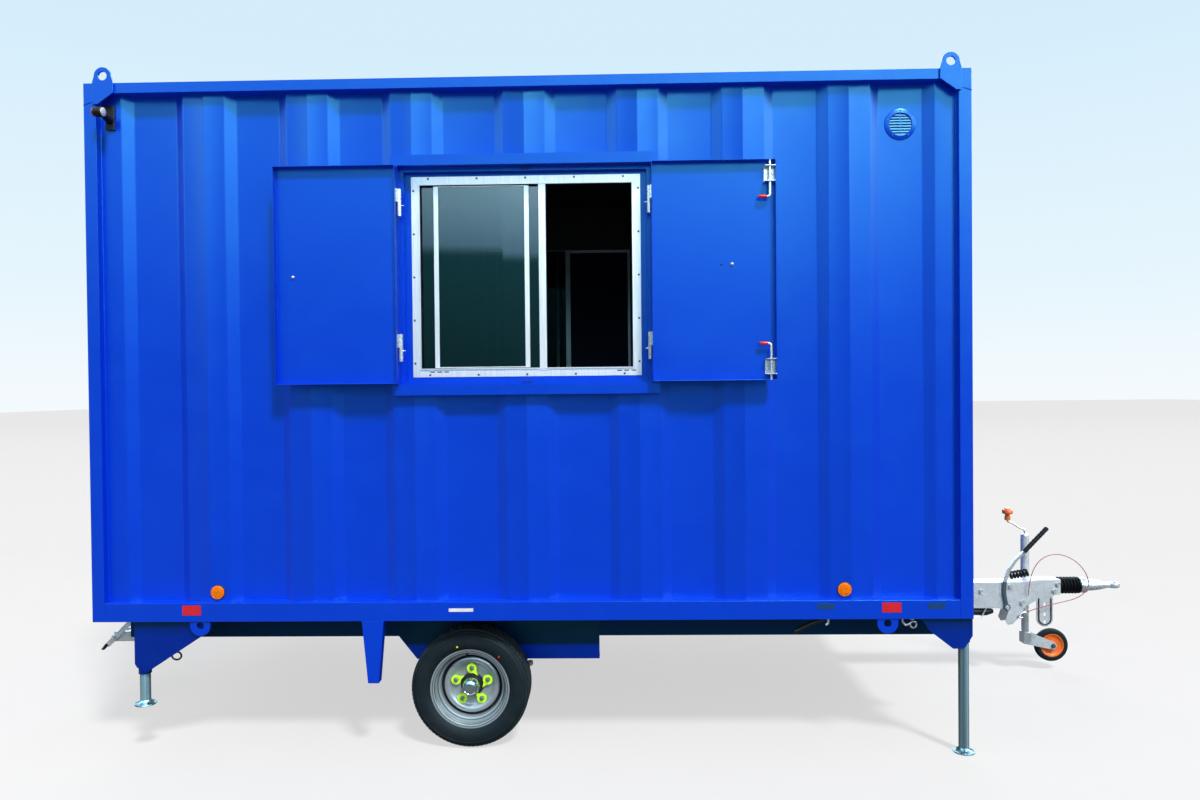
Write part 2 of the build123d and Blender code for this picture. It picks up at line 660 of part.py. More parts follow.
def window_panes():
    """The fixed pane in the inner track and the pane of the sliding sash in the outer one."""
    y0 = -HALF_WIDTH + pane_depth()
    reach = REAR_HALF_HEIGHT - SASH_CLEARANCE - FRAME_FLANGE
    x0 = WINDOW_X - REAR_HALF_WIDTH + SASH_CLEARANCE + FRAME_FLANGE
    x1 = WINDOW_X + MULLION_OFFSET - MULLION_WIDTH / 2
    fixed = block(x0, x1, y0, y0 + GLASS, WINDOW_Z - reach, WINDOW_Z + reach)
    sx0 = WINDOW_X + SASH_OFFSET + SASH_STILE
    sx1 = sx0 + SASH_WIDTH - 2 * SASH_STILE
    sy0 = -HALF_WIDTH + sash_depth() + (SASH_DEPTH - GLASS) / 2
    sash_reach = reach - SASH_STILE
    sliding = block(sx0, sx1, sy0, sy0 + GLASS, WINDOW_Z - sash_reach, WINDOW_Z + sash_reach)
    return [fixed, sliding]


def hinge_levels():
    """The height at which the two halves of each shutter hinge meet."""
    reach = SHUTTER_HALF_HEIGHT - HINGE_INSET
    return [WINDOW_Z - reach, WINDOW_Z + reach]


def shutter_pan():
    """The right-hand shutter, folded open: a flat sheet with a flange on all four edges."""
    x0 = WINDOW_X + HINGE_OFFSET + SHUTTER_EDGE
    x1 = x0 + SHUTTER_WIDTH
    back = HINGE_Y - SHUTTER_OFFSET
    front = back - SHUTTER_FLANGE
    low = WINDOW_Z - SHUTTER_HALF_HEIGHT
    high = WINDOW_Z + SHUTTER_HALF_HEIGHT
    t = SHUTTER_SHEET
    return block(x0, x1, front, back, low, high) - block(x0 + t, x1 - t, front - 1, back - t, low + t, high - t)


def bolt_line():
    """X and Y of the shoot bolts on the right-hand shutter, folded open."""
    x = WINDOW_X + HINGE_OFFSET + SHUTTER_EDGE + SHUTTER_WIDTH - BOLT_EDGE_INSET
    y = HINGE_Y - SHUTTER_OFFSET - SHUTTER_SHEET - BOLT_STANDOFF
    return x, y


def closed_bolt_line():
    """X and Y of the shoot bolts once the right-hand shutter is closed."""
    x, y = bolt_line()
    return 2 * (WINDOW_X + HINGE_OFFSET) - x, 2 * HINGE_Y - y


def right_shutter():
    """The right-hand shutter with the holes that its bolts shoot through."""
    x, y = bolt_line()
    reach = SHUTTER_HALF_HEIGHT + 5
    return shutter_pan() - rod(BOLT_PASSAGE / 2, (x, y, WINDOW_Z - reach), (x, y, WINDOW_Z + reach))


def left_shutter():
    """The left-hand shutter, folded open."""
    return mirror_about_window(shutter_pan())


def mirror_about_window(shape):
    """The same piece on the other side of the window's middle."""
    return mirror(shape, Plane.YZ.offset(WINDOW_X))


def hinge_axis():
    """The right-hand hinge line of the near window."""
    return Axis((WINDOW_X + HINGE_OFFSET, HINGE_Y, 0), (0, 0, 1))


def fixed_hinge_half(level):
    """The lower barrel with its pin, and the leaf that holds it to the jamb."""
    x = WINDOW_X + HINGE_OFFSET
    barrel = rod(HINGE_RADIUS, (x, HINGE_Y, level - HINGE_HALF_LENGTH), (x, HINGE_Y, level))
    pin = rod(HINGE_PIN_RADIUS, (x, HINGE_Y, level), (x, HINGE_Y, level + HINGE_HALF_LENGTH - 4))
    jamb = WINDOW_X + WINDOW_HALF_WIDTH
    leaf = block(jamb - HINGE_LEAF, jamb, HINGE_Y + HINGE_PROUD, HINGE_Y + HINGE_LEAF_DEPTH,
                 level - HINGE_HALF_LENGTH, level)
    return barrel + pin + leaf


def moving_hinge_half(level):
    """The upper barrel, bored for the pin, and the leaf that holds it to the open shutter."""
    x = WINDOW_X + HINGE_OFFSET
    low = level + HINGE_THRUST_GAP
    high = level + HINGE_HALF_LENGTH
    barrel = rod(HINGE_RADIUS, (x, HINGE_Y, low), (x, HINGE_Y, high))
    edge = x + SHUTTER_EDGE
    leaf = block(edge - HINGE_LEAF, edge, HINGE_Y - HINGE_LEAF_DEPTH, HINGE_Y - SHUTTER_OFFSET, low, high)
    bore = rod(HINGE_PIN_RADIUS + HINGE_PIN_CLEARANCE, (x, HINGE_Y, low - 1), (x, HINGE_Y, high - 3))
    return barrel + leaf - bore


def far_shutter():
    """A closed shutter of the far window with its hinges, made as one welded piece."""
    shutter = shutter_pan().rotate(hinge_axis(), 180)
    for level in hinge_levels():
        moving = moving_hinge_half(level).rotate(hinge_axis(), 180)
        shutter = shutter + moving + fixed_hinge_half(level + HINGE_THRUST_GAP)
    return across(shutter)


def bolt_housings():
    """Two bent brackets that guide the shoot bolts, near the free edge of the right-hand shutter."""
    x, y = bolt_line()
    seat = HINGE_Y - SHUTTER_OFFSET - SHUTTER_SHEET
    half = min(BOLT_HOUSING_WIDTH / 2, BOLT_EDGE_INSET - SHUTTER_SHEET)
    housings = []
    for side in (-1, 1):
        outer = WINDOW_Z + side * (SHUTTER_HALF_HEIGHT - BOLT_HOUSING_INSET)
        inner = outer - side * BOLT_HOUSING_HEIGHT
        low = min(outer, inner)
        high = max(outer, inner)
        shell = block(x - half, x + half, seat - BOLT_HOUSING_DEPTH, seat, low, high)
        space = block(x - half - 1, x + half + 1, seat - BOLT_HOUSING_DEPTH - 1, seat - BOLT_PLATE,
                      low + BOLT_PLATE, high - BOLT_PLATE)
        bore = rod(BOLT_RADIUS + BOLT_CLEARANCE, (x, y, low - 1), (x, y, high + 1))
        housings.append(shell - space - bore)
    return several(housings)


def shoot_bolt(side):
    """A round bolt with a handle bent towards the hinge; side 1 is the upper one."""
    x, y = bolt_line()
    tip = WINDOW_Z + side * (SHUTTER_HALF_HEIGHT - SHUTTER_SHEET)
    bend = tip - side * BOLT_REACH
    path = FilletPolyline((x, y, tip), (x, y, bend), (x - BOLT_HANDLE, y, bend), radius=2 * BOLT_RADIUS)
    section = Plane(origin=(x, y, tip), z_dir=(0, 0, -side)) * Circle(BOLT_RADIUS)
    return sweep(section, path=path)


def vent():
    """A round louvred vent on the near wall, over the pan nearest the drawbar."""
    x = BODY_LENGTH - POST_FACE - SIDE_PITCH / 2
    y = -HALF_WIDTH + SIDE_SETBACK + PRESSING_DEPTH
    z = ROOF_LEVEL - VENT_DROP
    cup = rod(VENT_RADIUS, (x, y - VENT_FLANGE, z), (x, y, z))
    cup = cup - rod(VENT_OPENING_RADIUS, (x, y - VENT_FLANGE - 1, z), (x, y - 1, z))
    spacing = 2 * VENT_OPENING_RADIUS / (VENT_LOUVRES + 1)
    for step in range(VENT_LOUVRES):
        level = z - VENT_OPENING_RADIUS + (step + 1) * spacing
        half = math.sqrt(VENT_OPENING_RADIUS ** 2 - (level - z) ** 2) + 1
        cup = cup + block(x - half, x + half, y - VENT_FLANGE, y, level - VENT_LOUVRE_THICKNESS, level)
    return cup


def reflector(x):
    """A round reflector on the near wall's outer flat."""
    y = -HALF_WIDTH + SIDE_SETBACK
    z = UNDERSIDE + REFLECTOR_RISE
    disc = rod(REFLECTOR_RADIUS, (x, y - REFLECTOR_THICKNESS, z), (x, y, z))
    return fillet(disc.faces().sort_by(Axis.Y)[0].edges(), REFLECTOR_THICKNESS * 0.4)


def side_reflectors():
    """Reflectors near both ends of both long walls."""
    joint = POST_FACE + SIDE_PITCH
    rear = reflector(joint + REFLECTOR_OFFSET)
    front = reflector(BODY_LENGTH - joint - REFLECTOR_OFFSET)
    return several([rear, front, across(rear), across(front)])


def marker_lamp():
    """A rubber stalk lamp on a base plate, high on the near wall by the rear post."""
    y = -HALF_WIDTH + SIDE_SETBACK
    z = ROOF_LEVEL - LAMP_DROP
    base = block(LAMP_X - LAMP_BASE_WIDTH / 2, LAMP_X + LAMP_BASE_WIDTH / 2, y - LAMP_BASE_THICKNESS, y,
                 z - LAMP_BASE_HEIGHT / 2, z + LAMP_BASE_HEIGHT / 2)
    end = -HALF_WIDTH - LAMP_REACH + LAMP_RADIUS
    stalk = rod(LAMP_RADIUS * 0.6, (LAMP_X, y - LAMP_BASE_THICKNESS, z), (LAMP_X, end, z))
    head = Pos(LAMP_X, end, z) * Cylinder(LAMP_RADIUS, 2.2 * LAMP_RADIUS, rotation=(0, 90, 0))
    return base + stalk + head


def tail_lamp():
    """A rectangular rear lamp on the bottom end rail, near the corner."""
    y = -HALF_WIDTH + POST_DEPTH + TAIL_LAMP_WIDTH * 0.75
    z = UNDERSIDE + BOTTOM_RAIL_HEIGHT / 2
    return block(-TAIL_LAMP_THICKNESS, 0, y - TAIL_LAMP_WIDTH / 2, y + TAIL_LAMP_WIDTH / 2,
                 z - TAIL_LAMP_HEIGHT / 2, z + TAIL_LAMP_HEIGHT / 2)


def tie_down_eye(x):
    """A half-round eye plate under the near bottom rail."""
    y0 = -HALF_WIDTH + TIE_EYE_SETBACK
    y1 = y0 + TIE_EYE_THICKNESS
    radius = TIE_EYE_WIDTH / 2
    centre = UNDERSIDE - TIE_EYE_DROP + radius
    plate = rod(radius, (x, y0, centre), (x, y1, centre)) + block(x - radius, x + radius, y0, y1, centre, UNDERSIDE)
    plate = plate & block(x - radius, x + radius, y0, y1, centre - radius, UNDERSIDE)
    return plate - rod(TIE_EYE_HOLE_RADIUS, (x, y0 - 1, centre), (x, y1 + 1, centre))


def tie_down_eyes():
    """Four tie-down eyes under the bottom side rails."""
    near = [tie_down_eye(TIE_EYE_REAR_X), tie_down_eye(BODY_LENGTH - TIE_EYE_FRONT_INSET)]
    return several(near + [across(eye) for eye in near])


def chassis_rail():
    """A channel under the near side of the floor, as long as the body, open inwards."""
    y0 = -RAIL_Y
    channel = block(0, BODY_LENGTH, y0, y0 + RAIL_FLANGE, RAIL_BOTTOM, UNDERSIDE)
    return channel - block(-1, BODY_LENGTH + 1, y0 + RAIL_WALL, y0 + RAIL_FLANGE + 1,
                           RAIL_BOTTOM + RAIL_WALL, UNDERSIDE - RAIL_WALL)


def floor_bearers():
    """Bearers across the body between the bottom rails, under the floor board."""
    reach = HALF_WIDTH - POST_DEPTH
    top = WALL_BOTTOM - FLOOR_THICKNESS
    spacing = (BODY_LENGTH - 2 * POST_FACE) / (CROSS_MEMBER_COUNT + 1)
    bearers = []
    for number in range(CROSS_MEMBER_COUNT):
        x = POST_FACE + (number + 1) * spacing
        half = CROSS_MEMBER_WIDTH / 2
        bearers.append(box_tube(x - half, x + half, -reach, reach, UNDERSIDE, top, TUBE_WALL, "Y"))
    return several(bearers)


def side_beam():
    """The deep plate that hangs the axle, on the outside of the near chassis rail."""
    outline = [
        (SIDE_BEAM_REAR, UNDERSIDE),
        (SIDE_BEAM_REAR, RAIL_BOTTOM),
        (SIDE_BEAM_REAR + SIDE_BEAM_SLOPE, SIDE_BEAM_BOTTOM),
        (SIDE_BEAM_FRONT, SIDE_BEAM_BOTTOM),
        (SIDE_BEAM_FRONT, UNDERSIDE),
    ]
    y1 = -RAIL_Y
    web = side_plate(outline, y1 - SIDE_BEAM_WALL, y1)
    foot = block(SIDE_BEAM_REAR + SIDE_BEAM_SLOPE, SIDE_BEAM_FRONT, y1 - SIDE_BEAM_WALL, y1 + SIDE_BEAM_FLANGE,
                 SIDE_BEAM_BOTTOM, SIDE_BEAM_BOTTOM + SIDE_BEAM_WALL)
    return web + foot


def axle():
    """A square axle beam with packing plates under the side beams and round stubs for the hubs."""
    reach = RAIL_Y + SIDE_BEAM_WALL
    half = AXLE_SIZE / 2
    beam = box_tube(AXLE_X - half, AXLE_X + half, -reach, reach, AXLE_Z - half, AXLE_Z + half, AXLE_WALL, "Y")
    for side in (-1, 1):
        beam = beam + block(AXLE_X - half + 1, AXLE_X + half - 1, min(side * reach, side * (reach - AXLE_PLATE)),
                            max(side * reach, side * (reach - AXLE_PLATE)), AXLE_Z - half + 1, AXLE_Z + half - 1)
    for side in (-1, 1):
        inner = side * (reach - SIDE_BEAM_FLANGE)
        outer = side * reach
        beam = beam + block(AXLE_X - 2 * half, AXLE_X + 2 * half, min(inner, outer), max(inner, outer),
                            AXLE_Z + half - AXLE_PLATE, SIDE_BEAM_BOTTOM)
        end = side * (HALF_WIDTH - TYRE_SETIN - RIM_SETIN - 30)
        beam = beam + rod(STUB_RADIUS, (AXLE_X, outer - side * 10, AXLE_Z), (AXLE_X, end, AXLE_Z))
    return beam


def stand_leg():
    """A tapered channel leg that hangs from the near bottom rail."""
    top = STAND_LEG_TOP_WIDTH / 2
    foot = STAND_LEG_FOOT_WIDTH / 2
    low = UNDERSIDE - STAND_LEG_LENGTH
    outline = [
        (STAND_LEG_X - top, UNDERSIDE),
        (STAND_LEG_X - foot, low),
        (STAND_LEG_X + foot, low),
        (STAND_LEG_X + top, UNDERSIDE),
    ]
    y0 = -HALF_WIDTH
    solid = side_plate(outline, y0, y0 + STAND_LEG_DEPTH)
    wall = STAND_LEG_WALL
    hollow = [
        (STAND_LEG_X - top + wall, UNDERSIDE + 1),
        (STAND_LEG_X - foot + wall, low + wall),
        (STAND_LEG_X + foot - wall, low + wall),
        (STAND_LEG_X + top - wall, UNDERSIDE + 1),
    ]
    return solid - side_plate(hollow, y0 + wall, y0 + STAND_LEG_DEPTH + 1)


def rear_leg_bracket():
    """A cut-cornered plate under the rear of the near rail, with the sleeve of the rear leg."""
    outline = [
        (REAR_BRACKET_START, UNDERSIDE),
        (REAR_BRACKET_START, UNDERSIDE - 209),
        (REAR_BRACKET_START + 10, UNDERSIDE - 225),
        (REAR_BRACKET_START + 52, UNDERSIDE - REAR_BRACKET_DROP),
        (REAR_BRACKET_END, UNDERSIDE - 57),
        (REAR_BRACKET_END, UNDERSIDE),
    ]
    y0 = -HALF_WIDTH + REAR_BRACKET_SETBACK
    plate = side_plate(outline, y0, y0 + BRACKET_PLATE)
    low = UNDERSIDE - 262
    sleeve = rod(REAR_SLEEVE_RADIUS, (REAR_LEG_X, -REAR_LEG_Y, low), (REAR_LEG_X, -REAR_LEG_Y, UNDERSIDE))
    bore = rod(LEG_RADIUS + LEG_CLEARANCE, (REAR_LEG_X, -REAR_LEG_Y, low - 1),
               (REAR_LEG_X, -REAR_LEG_Y, UNDERSIDE + 1))
    return plate + sleeve - bore


def front_leg_bracket():
    """A cut-cornered plate under the front post, with a collar round the front leg."""
    outline = [
        (BODY_LENGTH - FRONT_BRACKET_LENGTH, UNDERSIDE),
        (BODY_LENGTH - FRONT_BRACKET_LENGTH + 39, UNDERSIDE - 60),
        (BODY_LENGTH - 92, UNDERSIDE - FRONT_BRACKET_DROP),
        (BODY_LENGTH - 40, UNDERSIDE - FRONT_BRACKET_DROP),
        (BODY_LENGTH, UNDERSIDE - 85),
        (BODY_LENGTH, UNDERSIDE),
    ]
    y0 = -HALF_WIDTH + FRONT_BRACKET_SETBACK
    plate = side_plate(outline, y0, y0 + BRACKET_PLATE)
    low = UNDERSIDE - 120
    centre = -FRONT_LEG_Y
    sleeve = rod(REAR_SLEEVE_RADIUS, (FRONT_LEG_X, centre, low), (FRONT_LEG_X, centre, UNDERSIDE))
    web = block(FRONT_LEG_X - 4, FRONT_LEG_X + 4, y0, centre, low, UNDERSIDE)
    bore = rod(LEG_RADIUS + LEG_CLEARANCE, (FRONT_LEG_X, centre, low - 1), (FRONT_LEG_X, centre, UNDERSIDE + 1))
    return plate + sleeve + web - bore


def leg_brackets():
    """The brackets of all four prop legs."""
    rear = rear_leg_bracket()
    front = front_leg_bracket()
    return several([rear, front, across(rear), across(front)])


def prop_leg(x, y, foot, top):
    """A tube with a dished round foot, standing from one height to another."""
    tube = rod(LEG_RADIUS, (x, y, foot + FOOT_PLATE), (x, y, top))
    tube = tube - rod(LEG_RADIUS - LEG_WALL, (x, y, foot + FOOT_PLATE), (x, y, top + 1))
    dish = [
        (0, 0),
        (FOOT_RADIUS - 4, 0),
        (FOOT_RADIUS, 4),
        (FOOT_RADIUS, FOOT_PLATE + 4),
        (LEG_RADIUS + 4, FOOT_DISH),
        (0, FOOT_DISH),
    ]
    profile = make_face(Polyline(*[(r, 0, h) for r, h in dish], close=True))
    return tube + Pos(x, y, foot) * revolve(profile, Axis.Z)


def front_leg():
    """The near front leg, on the ground, its top inside the hollow post."""
    return prop_leg(FRONT_LEG_X, -FRONT_LEG_Y, 0, UNDERSIDE + FRONT_LEG_TOP_MARGIN)


def rear_leg():
    """The near rear leg, drawn up for towing."""
    return prop_leg(REAR_LEG_X, -REAR_LEG_Y, REAR_FOOT_HEIGHT, UNDERSIDE - LEG_TOP_GAP)


def step_slots():
    """The rows of round-ended slots through the tread."""
    across_pitch = STEP_WIDTH / STEP_SLOTS_ACROSS
    deep_pitch = STEP_DEPTH / (STEP_SLOTS_DEEP + 1)
    cutters = []
    for row in range(STEP_SLOTS_DEEP):
        for column in range(STEP_SLOTS_ACROSS):
            y = -STEP_WIDTH / 2 + (column + 0.5) * across_pitch
            x = -STEP_REACH + (row + 1) * deep_pitch
            slot = extrude(Rot(0, 0, 90) * SlotOverall(across_pitch * 0.55, deep_pitch * 0.4), 4 * STEP_PLATE)
            cutters.append(Pos(x, y, STEP_TOP - 2 * STEP_PLATE) * slot)
    return cutters


def rear_step():
    """A slotted tread with side plates, hung from drop plates and stayed by two sloping arms."""
    half = STEP_WIDTH / 2
    inner = -STEP_REACH + STEP_DEPTH
    t = STEP_PLATE
    tread = block(-STEP_REACH, inner, -half, half, STEP_TOP - t, STEP_TOP)
    for cutter in step_slots():
        tread = tread - cutter
    low = STEP_TOP - STEP_SIDE
    step = tread + block(-STEP_REACH, -STEP_REACH + t, -half, half, low, STEP_TOP)
    hanger = POST_FACE * 0.8
    for side in (-1, 1):
        y0 = min(side * half, side * (half - t))
        plate = block(-STEP_REACH, hanger, y0, y0 + t, low, STEP_TOP)
        drop = block(0, hanger, y0, y0 + t, low, UNDERSIDE)
        a0 = min(side * half, side * (half + STEP_ARM_PLATE))
        step = step + plate + drop + step_arm(a0)
    return step


def step_arm(y0):
    """A flat stay from the rear bottom rail down past the outer edge of the step."""
    top_z = UNDERSIDE + BOTTOM_RAIL_HEIGHT
    w = STEP_ARM_WIDTH
    outline = [
        (0, top_z),
        (-STEP_TIP_REACH + w * 0.3, STEP_TIP_HEIGHT + w * 0.4),
        (-STEP_TIP_REACH, STEP_TIP_HEIGHT),
        (-STEP_TIP_REACH + w, STEP_TIP_HEIGHT),
        (0, top_z - w * 1.5),
    ]
    return side_plate(outline, y0, y0 + STEP_ARM_PLATE)


def spun(profile, x, y, z):
    """A ring or wheel turned from its outline of (radius, distance inwards), on an axis along Y."""
    face = make_face(Polyline(*profile, close=True))
    return Pos(x, y, z) * revolve(face, Axis.Y)


def tyre():
    """The near tyre: crowned tread, rounded shoulders and beads on the rim."""
    w = TYRE_WIDTH
    bead = BEAD_RADIUS + LEG_CLEARANCE
    tread = TYRE_RADIUS
    lip = RIM_SETIN + 8
    profile = [
        (bead, lip),
        (RIM_FLANGE_RADIUS + 3, lip - 4),
        (RIM_FLANGE_RADIUS + 24, 4),
        (RIM_FLANGE_RADIUS + 48, 0),
        (tread - 24, 7),
        (tread - 8, 20),
        (tread - 2, 36),
        (tread, w / 2),
        (tread - 2, w - 36),
        (tread - 8, w - 20),
        (tread - 24, w - 7),
        (RIM_FLANGE_RADIUS + 48, w),
        (RIM_FLANGE_RADIUS + 24, w - 4),
        (RIM_FLANGE_RADIUS + 3, w - lip + 4),
        (bead, w - lip),
        (bead, w - lip - 30),
        (bead + 20, w - lip - 34),
        (tread - 20, w - 40),
        (tread - 14, w / 2),
        (tread - 20, 40),
        (bead + 20, lip + 34),
        (bead, lip + 30),
    ]
    return spun(profile, AXLE_X, -HALF_WIDTH + TYRE_SETIN, AXLE_Z)


def rim():
    """The near steel wheel with its dish, hub, grease cap and wheel nuts."""
    t = RIM_WALL
    w = TYRE_WIDTH
    f = RIM_SETIN
    outer = [
        (RIM_FLANGE_RADIUS, f),
        (RIM_FLANGE_RADIUS, f + 4),
        (BEAD_RADIUS, f + 8),
        (BEAD_RADIUS, f + 36),
        (BEAD_RADIUS - 20, f + 50),
        (BEAD_RADIUS - 20, w - f - 50),
        (BEAD_RADIUS, w - f - 36),
        (BEAD_RADIUS, w - f - 8),
        (RIM_FLANGE_RADIUS, w - f - 4),
        (RIM_FLANGE_RADIUS, w - f),
    ]
    inner = [
        (BEAD_RADIUS - t, w - f),
        (BEAD_RADIUS - t, w - f - 38),
        (BEAD_RADIUS - 20 - t, w - f - 52),
        (BEAD_RADIUS - 20 - t, f + 52),
        (BEAD_RADIUS - t, f + 38),
        (BEAD_RADIUS - t, f),
    ]
    y = -HALF_WIDTH + TYRE_SETIN
    wheel = spun(outer + inner, AXLE_X, y, AXLE_Z)
    dish = WHEEL_DISH
    groove = DISH_GROOVE_RADIUS
    disc = [
        (HUB_RADIUS - 10, dish),
        (STUD_CIRCLE_RADIUS + 18, dish),
        (STUD_CIRCLE_RADIUS + 26, dish - 9),
        (groove - 12, dish - 12),
        (groove - 2, dish + 4),
        (BEAD_RADIUS - 20 - t + 1, dish - 2),
        (BEAD_RADIUS - 20 - t + 1, dish + 4),
        (groove - 3, dish + 10),
        (groove - 14, dish - 6),
        (STUD_CIRCLE_RADIUS + 28, dish - 4),
        (STUD_CIRCLE_RADIUS + 20, dish + 5),
        (HUB_RADIUS - 10, dish + 5),
    ]
    wheel = wheel + spun(disc, AXLE_X, y, AXLE_Z)
    hub = [
        (0, f),
        (HUB_CAP_RADIUS - 6, f),
        (HUB_CAP_RADIUS, f + 6),
        (HUB_CAP_RADIUS, f + 28),
        (HUB_RADIUS - 12, f + 28),
        (HUB_RADIUS - 6, f + 34),
        (HUB_RADIUS, dish),
        (HUB_RADIUS + 20, dish + 5),
        (HUB_RADIUS + 20, dish + 16),
        (HUB_RADIUS, dish + 20),
        (HUB_RADIUS, w - f - 20),
        (0, w - f - 20),
    ]
    wheel = wheel + spun(hub, AXLE_X, y, AXLE_Z)
    for number in range(STUDS):
        angle = math.radians(90 + number * 360 / STUDS)
        x = AXLE_X + STUD_CIRCLE_RADIUS * math.cos(angle)
        z = AXLE_Z + STUD_CIRCLE_RADIUS * math.sin(angle)
        wheel = wheel + rod(NUT_RADIUS, (x, y + dish - 18, z), (x, y + dish + 2, z))
    bore = rod(STUB_RADIUS + STUB_CLEARANCE, (AXLE_X, y + f + 28, AXLE_Z), (AXLE_X, y + w, AXLE_Z))
    return wheel - bore


def drawbar_pole():
    """The box-section pole that runs out from under the floor to the coupling."""
    half = POLE_WIDTH / 2
    return box_tube(POLE_START, POLE_END, -half, half, POLE_TOP - POLE_HEIGHT, POLE_TOP, HOUSING_WALL, "X")


def pole_carriers():
    """Two bearers that hold the pole up to the chassis rails."""
    top = UNDERSIDE
    reach = RAIL_Y - RAIL_WALL
    carriers = []
    for x in (POLE_START + 60, BODY_LENGTH - 90):
        beam = block(x, x + 60, -reach, reach, POLE_TOP, top)
        ends = block(x, x + 60, -reach, -reach + RAIL_FLANGE - RAIL_WALL, top - RAIL_WALL, top + 1)
        carriers.append(beam - ends - across(ends))
    return several(carriers)


def housing_outline():
    """The side view of the overrun housing, as X and Z."""
    return [
        (POLE_END, POLE_TOP),
        (4953, POLE_TOP),
        (5010, HOUSING_TOP),
        (HOUSING_FRONT, HOUSING_TOP),
        (HOUSING_FRONT, 500),
        (5112, 490),
        (5009, 460),
        (4951, 428),
        (4925, 377),
        (4876, 322),
        (4846, 318),
        (4832, 345),
        (4850, 400),
        (POLE_END, 417),
    ]


def coupling_housing():
    """The pressed overrun housing: open below, with two bearings for the coupling shaft."""
    half = POLE_WIDTH / 2
    wall = HOUSING_WALL
    outline = housing_outline()
    shell = side_plate(outline, -half, half)
    space = block(POLE_END - 1, HOUSING_FRONT + 1, -half + wall, half - wall, 0, POLE_TOP - wall)
    shell = shell - space
    for front in (HOUSING_FRONT, POLE_END + OVERRUN_TRAVEL + 2 * BEARING_LENGTH):
        bearing = block(front - BEARING_LENGTH, front, -half + wall, half - wall, 505, POLE_TOP - wall)
        shell = shell + bearing
    shaft_hole = rod(SHAFT_RADIUS + SHAFT_CLEARANCE, (POLE_END, 0, COUPLING_AXIS_Z),
                     (HOUSING_FRONT + 1, 0, COUPLING_AXIS_Z))
    pin = rod(LEVER_PIN_RADIUS, (LEVER_PIVOT_X, LEVER_Y - LEVER_THICKNESS, LEVER_PIVOT_Z),
              (LEVER_PIVOT_X, half, LEVER_PIVOT_Z))
    return shell - shaft_hole + pin + coupling_hanger() + jockey_clamp()


def coupling_hanger():
    """The round-ended hanger plate below the housing, with its row of holes."""
    half = POLE_WIDTH / 2
    radius = HANGER_WIDTH / 2
    centre = HANGER_BOTTOM + radius
    y0 = -half
    y1 = -half + HOUSING_WALL
    plate = block(HANGER_X - radius, HANGER_X + radius, y0, y1, centre, 500)
    plate = plate + rod(radius, (HANGER_X, y0, centre), (HANGER_X, y1, centre))
    for level in (centre - 20, centre + 25, centre + 85):
        plate = plate - rod(HANGER_HOLE_RADIUS, (HANGER_X, y0 - 1, level), (HANGER_X, y1 + 1, level))
    return plate


def eye_shank(x0, x1):
    """The forged shank that narrows from the round neck to the flat of the eye."""
    z = COUPLING_AXIS_Z
    length = x1 - x0
    end = EYE_RADIUS * 0.7
    profile = [(0, 0), (NECK_RADIUS, 0), (end, length), (0, length)]
    cone = revolve(make_face(Polyline(*profile, close=True)), Axis.Y)
    cone = Pos(x0, 0, z) * (Rot(0, 0, -90) * cone)
    wedge = [
        (x0 - 1, z - NECK_RADIUS - 1),
        (x1 + 1, z - EYE_THICKNESS / 2),
        (x1 + 1, z + EYE_THICKNESS / 2),
        (x0 - 1, z + NECK_RADIUS + 1),
    ]
    return cone & side_plate(wedge, -NECK_RADIUS, NECK_RADIUS)


def coupling_eye():
    """The sliding coupling shaft with its collar, neck and flattened towing eye."""
    z = COUPLING_AXIS_Z
    shaft_end = HOUSING_FRONT + BELLOWS_LENGTH
    collar_end = shaft_end + COLLAR_LENGTH
    neck_end = collar_end + NECK_LENGTH
    rear = POLE_END + OVERRUN_TRAVEL + BEARING_LENGTH - 10
    shaft = rod(SHAFT_RADIUS, (rear, 0, z), (shaft_end, 0, z))
    collar = rod(COLLAR_RADIUS, (shaft_end, 0, z), (collar_end, 0, z))
    neck = rod(NECK_RADIUS, (collar_end, 0, z), (neck_end, 0, z))
    taper = eye_shank(neck_end, EYE_X - EYE_HOLE_RADIUS)
    eye = Pos(EYE_X, 0, z) * Cylinder(EYE_RADIUS, EYE_THICKNESS)
    hole = Pos(EYE_X, 0, z) * Cylinder(EYE_HOLE_RADIUS, 4 * EYE_THICKNESS)
    return shaft + collar + neck + taper + eye - hole


def bellows():
    """The folded rubber gaiter over the shaft, between the housing and the collar."""
    fold = BELLOWS_LENGTH / BELLOWS_FOLDS
    bore = SHAFT_RADIUS + 4
    profile = [(bore, 0)]
    for number in range(BELLOWS_FOLDS):
        profile.append((BELLOWS_ROOT_RADIUS, number * fold))
        profile.append((BELLOWS_RADIUS, (number + 0.5) * fold))
    profile.append((BELLOWS_ROOT_RADIUS, BELLOWS_LENGTH))
    profile.append((bore, BELLOWS_LENGTH))
    ring = revolve(make_face(Polyline(*profile, close=True)), Axis.Y)
    return Pos(HOUSING_FRONT, 0, COUPLING_AXIS_Z) * (Rot(0, 0, -90) * ring)


def lever_path():
    """The line of the handbrake lever, from its pivot to the end of the grip."""
    return [
        (LEVER_PIVOT_X, LEVER_PIVOT_Z),
        (4822, 500),
        (4824, 570),
        (4850, 650),
        (4890, 708),
        (4935, 752),
        (5077, 900),
    ]


